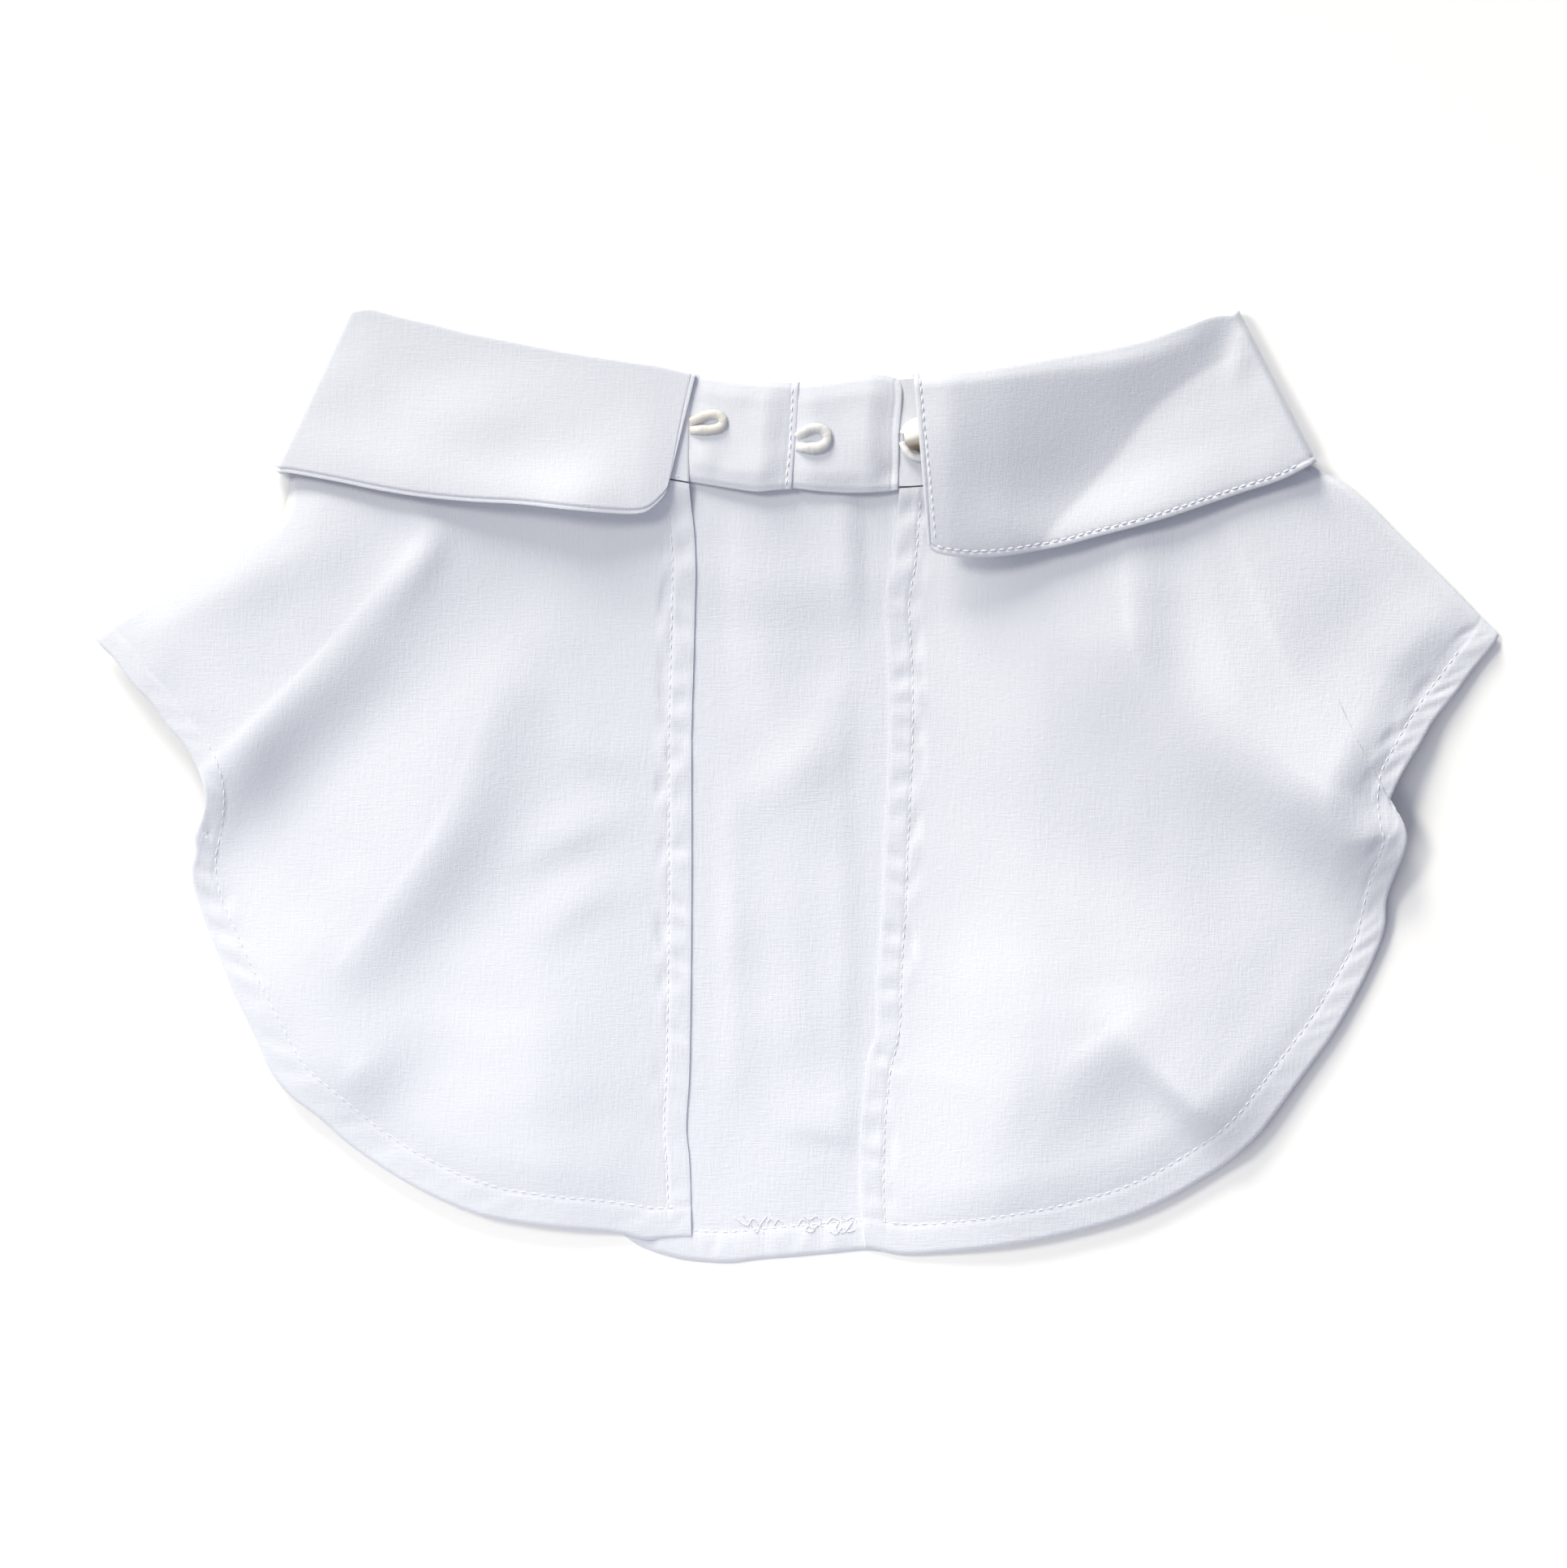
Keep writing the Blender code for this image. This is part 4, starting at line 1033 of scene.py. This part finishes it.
def section(name, table, z_left, z_right, z_start, dents):
    top, bottom, right = table["top"], table["bottom"], table["right"]
    left = [top[0], bottom[0]]
    u, v = spaced(90, (1.0, 0.04, 3.0), (0.0, 0.03, 2.0)), spaced(74, (0.0, 0.03, 3.0), (1.0, 0.05, 3.0))
    xy = patch(top, bottom, left, right, u, v)
    x, y = xy[..., 0], xy[..., 1]
    z = section_z(x, z_left, z_right) + bow_z(x)
    dt, _ = nearest(x, y, top)
    db, _ = nearest(x, y, bottom)
    dr, _ = nearest(x, y, right)
    rim = np.minimum(dt, db)
    puff = 0.03 * between(-0.5, 1.0, dr) + 0.85 * (0.35 + 0.65 * between(0.0, 5.0, rim)) * between(1.4, 8.0, dr) * between(-3.0, 5.0, x - P(850, 0)[0] - z_start)
    for px, py, h, w in dents:
        cx, cy = P(px, py)
        puff = puff + h * np.exp(-(((x - cx) ** 2 + (y - cy) ** 2) / w**2))
    edge = np.minimum(rim, dr)
    # edges roll under, as turned two-ply edges do
    z = z + puff - 0.32 * (1 - between(0.0, 1.6, rim))
    seam = -0.12 * bell(dr - 1.55, 0.42) - 0.06 * (1 - between(0.0, 0.5, dr))
    g = np.concatenate([xy, z[..., None]], axis=2)
    half = rounded(edge, 0.54, 0.3)
    upper = z + half + seam * (dr < 5)

    def surface(X, Y):
        """Height of the upper side near the sewn end."""
        out = np.empty_like(X)
        for i in np.ndindex(X.shape):
            k = ((x - X[i]) ** 2 + (y - Y[i]) ** 2).argmin()
            out[i] = upper.ravel()[k]
        return out

    return shell(name, g, half + seam * (dr < 5), half), surface


S1_DENTS = [(870, 560, 0.25, 3.2), (945, 570, 0.30, 4.5), (930, 500, -0.22, 4.0), (955, 545, -0.1, 3.0), (900, 590, 0.15, 3.0), (905, 480, 0.12, 4.0)]
S2_DENTS = [(1040, 505, -0.18, 4.5), (1075, 545, 0.22, 5.0), (1097, 583, -0.32, 2.4), (1020, 585, 0.25, 4.0), (1090, 490, 0.15, 4.0), (1060, 590, -0.12, 3.0)]


def loops():
    out = []
    n = 170
    f = np.linspace(0, 1, n)
    root = np.minimum(f, 1 - f)
    for k, (path, mat, node) in enumerate((
        (LOOP_1, CORD_1, "button_loop_1"), (LOOP_2, CORD_2, "button_loop_2"), (LOOP_3, CORD_3, "button_loop_3"),
    )):
        p = along(path, f)
        if k < 2:
            # the lower strand lies broader and flatter than the upper one
            r = (1.06, 1.08)[k] + (0.02, 0.20)[k] * bell(f - 0.72, 0.16)
            squash = 0.52 + 0.16 * between(0.0, 0.12, root)
            under = (section_z(p[:, 0], -19.0, -3.5), section_z(p[:, 0], 5.0, 18.0))[k]
            z = under + bow_z(p[:, 0]) + 0.20 + 0.85 * between(-0.02, 0.16, root) + r * squash * 0.62
        else:
            r = 0.90 + 0 * f
            squash = 0.8 + 0 * f
            z = UNDER_Z + 0.34 + r * 0.8 + 0 * f
        r = r * (0.90 + 0.10 * between(0.0, 0.10, root))
        wrinkle = 1 + 0.035 * np.sin(f * 61 + k) * np.sin(f * 23)
        obj = tube_object(node + "_cord", [tube(None, np.column_stack([p, z]), r * wrinkle, sides=24, flat=squash, ribs_n=2, rib_depth=0.02, rib_pitch=3.4)])
        out.append(finish_piece(obj, mat, "loop_cord", node))
    return out


def pearl():
    z0 = UNDER_Z + 0.34 + 1.50 + 0.12
    profile = [(PEARL_R * math.sin(a), z0 + 0.35 + 2.75 * math.cos(a)) for a in np.linspace(0, math.pi / 2, 28)]
    profile += [(PEARL_R - 0.12, z0 + 0.1), (PEARL_R - 0.45, z0), (1.25, z0 - 0.02), (1.1, z0 - 0.3), (1.1, UNDER_Z + 0.5), (0.0, UNDER_Z + 0.48)]
    n = 72
    ang = np.linspace(0, 2 * math.pi, n, endpoint=False)
    inner = profile[1:-1]
    verts = [(PEARL[0], PEARL[1], profile[0][1])]
    for r, z in inner:
        verts += [(PEARL[0] + r * math.cos(a), PEARL[1] + r * math.sin(a), z) for a in ang]
    verts.append((PEARL[0], PEARL[1], profile[-1][1]))
    faces = [(0, 1 + k, 1 + (k + 1) % n) for k in range(n)]
    for i in range(len(inner) - 1):
        a, b = 1 + i * n, 1 + (i + 1) * n
        faces += [(a + k, b + k, b + (k + 1) % n, a + (k + 1) % n) for k in range(n)]
    a, last = 1 + (len(inner) - 1) * n, len(verts) - 1
    faces += [(a + k, last, a + (k + 1) % n) for k in range(n)]
    mesh = bpy.data.meshes.new("pearl")
    mesh.from_pydata((np.array(verts) * 0.001).tolist(), [], faces)
    mesh.update()
    mesh.shade_smooth()
    obj = bpy.data.objects.new("pearl_dome", mesh)
    bpy.context.scene.collection.objects.link(obj)
    return finish_piece(obj, PEARL_PAINTED_REFLECTION_MAT, "pearl", "pearl_button")


def offset_path(path, distance, start=0.0, end=1.0, count=120):
    """A path moved sideways in plan: a number, or a function of the run."""
    p, run = fine(path)
    at = np.linspace(start * run[-1], end * run[-1], count)
    q = np.stack([np.interp(at, run, p[:, a]) for a in (0, 1)], axis=1)
    t = np.gradient(q, axis=0)
    t /= np.linalg.norm(t, axis=1)[:, None]
    k = distance(at) if callable(distance) else distance
    n = np.stack([-t[:, 1], t[:, 0]], 1)
    q = q + n * np.reshape(k, (-1, 1)) if np.ndim(k) else q + n * k
    kernel = np.ones(7) / 7
    pad = np.pad(q, ((3, 3), (0, 0)), mode="edge")
    return np.stack([np.convolve(pad[:, a], kernel, mode="valid") for a in (0, 1)], axis=1)


# ---- build ---------------------------------------------------------------------------------
finish_piece(panel_front(), CLOTH_FRONT, "panel_cloth", "front_panel")
for side in ("left", "right"):
    finish_piece(panel_back(side), CLOTH_PANEL, "panel_cloth", "back_panel_" + side)
fall, fall_grid, fall_up = leaf()
finish_piece(fall, CLOTH_LEAF, "collar_cloth", "collar_leaf")
finish_piece(stand(), CLOTH_LEAF, "collar_cloth", "collar_stand")
s1, s1_z = section("stand_extender_1_cloth", SECTION_1, -19.0, -3.5, 0.0, S1_DENTS)
s2, s2_z = section("stand_extender_2_cloth", SECTION_2, 5.0, 18.0, P(978, 0)[0] - P(850, 0)[0], S2_DENTS)
finish_piece(s1, CLOTH_LEAF, "collar_cloth", "stand_extender_1")
finish_piece(s2, CLOTH_LEAF, "collar_cloth", "stand_extender_2")
loops()
pearl()

# stitches
seams = []
seams += stitches(offset_path(OUTER_LEFT, hem_line_left), lambda x, y: back_z(x, y, "left") + PLY / 2, start=34, seed=21)
seams += stitches(offset_path(OUTER_RIGHT, lambda s: -hem_line_right(s)), lambda x, y: back_z(x, y, "right") + PLY / 2, start=6, seed=22)
seams += stitches(offset_path(OPENING_LEFT, -OPEN_LINE), lambda x, y: back_z(x, y, "left") + PLY / 2, start=1, end=163, seed=23)
seams += stitches(offset_path(OPENING_RIGHT, OPEN_LINE), lambda x, y: back_z(x, y, "right") + PLY / 2, start=1, end=164, seed=24)
obj = tube_object("panel_stitches", seams)
finish_piece(obj, THREAD, "panel_cloth")
seams = stitches(offset_path(FRONT_OUTER, 6.9, count=300), lambda x, y: front_z(x, y) + PLY / 2, start=30, end=520, seed=25)
obj = tube_object("front_hem_stitches", seams)
finish_piece(obj, THREAD, "panel_cloth")

LEAF_END_RIGHT = [P(1124, 463), P(1127, 494), P(1132, 548), P(1138, 600), P(1142.5, 650), P(1144.5, 671)]


def leaf_top(x, y):
    return leaf_back_z(x, y) + FALL / 2 - 0.09


seams = stitches(offset_path(LEAF_END_RIGHT, 1.45, 0.03, 0.985), leaf_top, length=1.55, gap=0.45, radius=0.19, lift=0.14, sink=0.08, seed=31)
seams += stitches(offset_path(LEAF_EDGE_RIGHT, 1.40, 0.012, 0.985), leaf_top, length=1.55, gap=0.45, radius=0.19, lift=0.14, sink=0.08, seed=32)
finish_piece(tube_object("fall_stitches", seams), THREAD, "collar_cloth")
seams = stitches(rows((977.2, 478), (975.4, 512), (973.2, 554), (970.6, 580), (968.6, 600)), s1_z, length=1.55, gap=0.5, radius=0.16, lift=0.10, seed=33)
seams += stitches(rows((820, 584.5), (834, 587.6), (848, 589.5)), lambda x, y: stand_back_z(x) + BAND / 2, length=1.5, gap=0.5, radius=0.16, lift=0.10, seed=35)
finish_piece(tube_object("band_stitches", seams), THREAD, "collar_cloth")


def loose(points, surface, radius=0.075, lift=0.02):
    """A loose thread end lying on a surface; points in picture places."""
    p = along(rows(*points), np.linspace(0, 1, 10 * len(points)))
    wob = 0.05 * np.sin(np.arange(len(p)) * 0.9)
    z = surface(p[:, 0], p[:, 1]) + radius + lift + wob
    return tube(None, np.column_stack([p, z]), radius, sides=6)


def front_top(x, y):
    return front_z(x, y) + PLY / 2


tangle = [
    loose(((905, 1500), (912, 1506), (921, 1510), (928, 1502), (936, 1512), (941, 1520)), front_top),
    loose(((915, 1497), (924, 1508), (932, 1519), (938, 1508), (945, 1499)), front_top),
    loose(((945, 1507), (950, 1502), (954, 1509), (959, 1503), (965, 1508)), front_top),
    loose(((983, 1511), (989, 1503), (997, 1508), (993, 1516), (1001, 1518), (1008, 1509), (1014, 1512)), front_top),
    loose(((990, 1499), (998, 1503), (1006, 1499), (1012, 1506), (1004, 1513), (996, 1511)), front_top),
    loose(((1019, 1508), (1026, 1501), (1034, 1505), (1030, 1514), (1039, 1519), (1047, 1511), (1052, 1504)), front_top),
    loose(((1022, 1517), (1030, 1521), (1038, 1513), (1044, 1518), (1054, 1516)), front_top),
    loose(((1036, 1499), (1043, 1504), (1050, 1500), (1056, 1506)), front_top),
]
finish_piece(tube_object("hem_thread_tangle", tangle), THREAD, "panel_cloth")

# ---- stage, light, camera -------------------------------------------------------------------
bpy.ops.mesh.primitive_plane_add(size=6.0, location=(0, 0, 0))
floor = bpy.context.object
floor.name = "floor"
m, nt, bsdf = new_material("floor_white")
bsdf.inputs["Base Color"].default_value = (0.985, 0.985, 0.985, 1)
bsdf.inputs["Roughness"].default_value = 0.9
bsdf.inputs["Specular IOR Level"].default_value = 0.0
floor.data.materials.append(m)

scene = bpy.context.scene
world = bpy.data.worlds.new("studio")
scene.world = world
world.use_nodes = True
wn = world.node_tree
wn.nodes.clear()
out = wn.nodes.new("ShaderNodeOutputWorld")
bg = wn.nodes.new("ShaderNodeBackground")
geo = wn.nodes.new("ShaderNodeTexCoord")
sep = wn.nodes.new("ShaderNodeSeparateXYZ")
wn.links.new(geo.outputs["Generated"], sep.inputs[0])
lean = wn.nodes.new("ShaderNodeMath")
lean.operation = "MULTIPLY_ADD"
lean.inputs[1].default_value = 0.75
wn.links.new(sep.outputs["Y"], lean.inputs[0])
wn.links.new(sep.outputs["Z"], lean.inputs[2])
sky = wn.nodes.new("ShaderNodeValToRGB")
sky.color_ramp.interpolation = "EASE"
sky.color_ramp.elements[0].position = 0.02
sky.color_ramp.elements[0].color = (0.42, 0.42, 0.47, 1)
sky.color_ramp.elements[1].position = 0.34
sky.color_ramp.elements[1].color = (0.80, 0.835, 1.0, 1)
wn.links.new(lean.outputs[0], sky.inputs["Fac"])
wn.links.new(sky.outputs["Color"], bg.inputs["Color"])
bg.inputs["Strength"].default_value = 0.42
wn.links.new(bg.outputs[0], out.inputs[0])


def sun(name, azimuth, elevation, strength, spread, colour):
    """Even light from a direction; strength is what it adds on level white."""
    a, e = math.radians(azimuth), math.radians(elevation)
    light = bpy.data.lights.new(name, "SUN")
    light.energy = strength * math.pi / math.sin(e)
    light.angle = math.radians(spread)
    light.color = colour
    o = bpy.data.objects.new(name, light)
    o.rotation_euler = (math.pi / 2 - e, 0.0, a + math.pi / 2)
    o.location = (math.cos(a) * math.cos(e), math.sin(a) * math.cos(e), math.sin(e))
    bpy.context.scene.collection.objects.link(o)
    return o


# a broad window-like light low at the top, a smaller one from the left
sun("top_soft", 112, 18, 0.370, 24, (1.0, 0.967, 0.835))
sun("left_key", 152, 42, 0.290, 16, (1.0, 0.967, 0.835))

# a broad soft light from above, nearer the lower left
light = bpy.data.lights.new("near_soft", "AREA")
light.shape, light.size, light.size_y, light.energy = "RECTANGLE", 0.34, 0.24, 0.64
light.color = (1.0, 0.99, 0.965)
soft = bpy.data.objects.new("near_soft", light)
soft.location = (-0.125, -0.20, 0.34)
bpy.context.scene.collection.objects.link(soft)

camera = bpy.data.cameras.new("overhead")
camera.type = "PERSP"
camera.sensor_width = 36.0
HEIGHT = 1.8
camera.lens = 36.0 * (HEIGHT - 0.0025) / (1931 / SCALE * 0.001)
camera.clip_start, camera.clip_end = 0.05, 20.0
cam = bpy.data.objects.new("overhead", camera)
cam.location = ((965.5 - CX) / SCALE * 0.001, (CY - 966.0) / SCALE * 0.001, HEIGHT)
scene.collection.objects.link(cam)
scene.camera = cam
scene.view_settings.view_transform = "Standard"
scene.view_settings.look = "None"
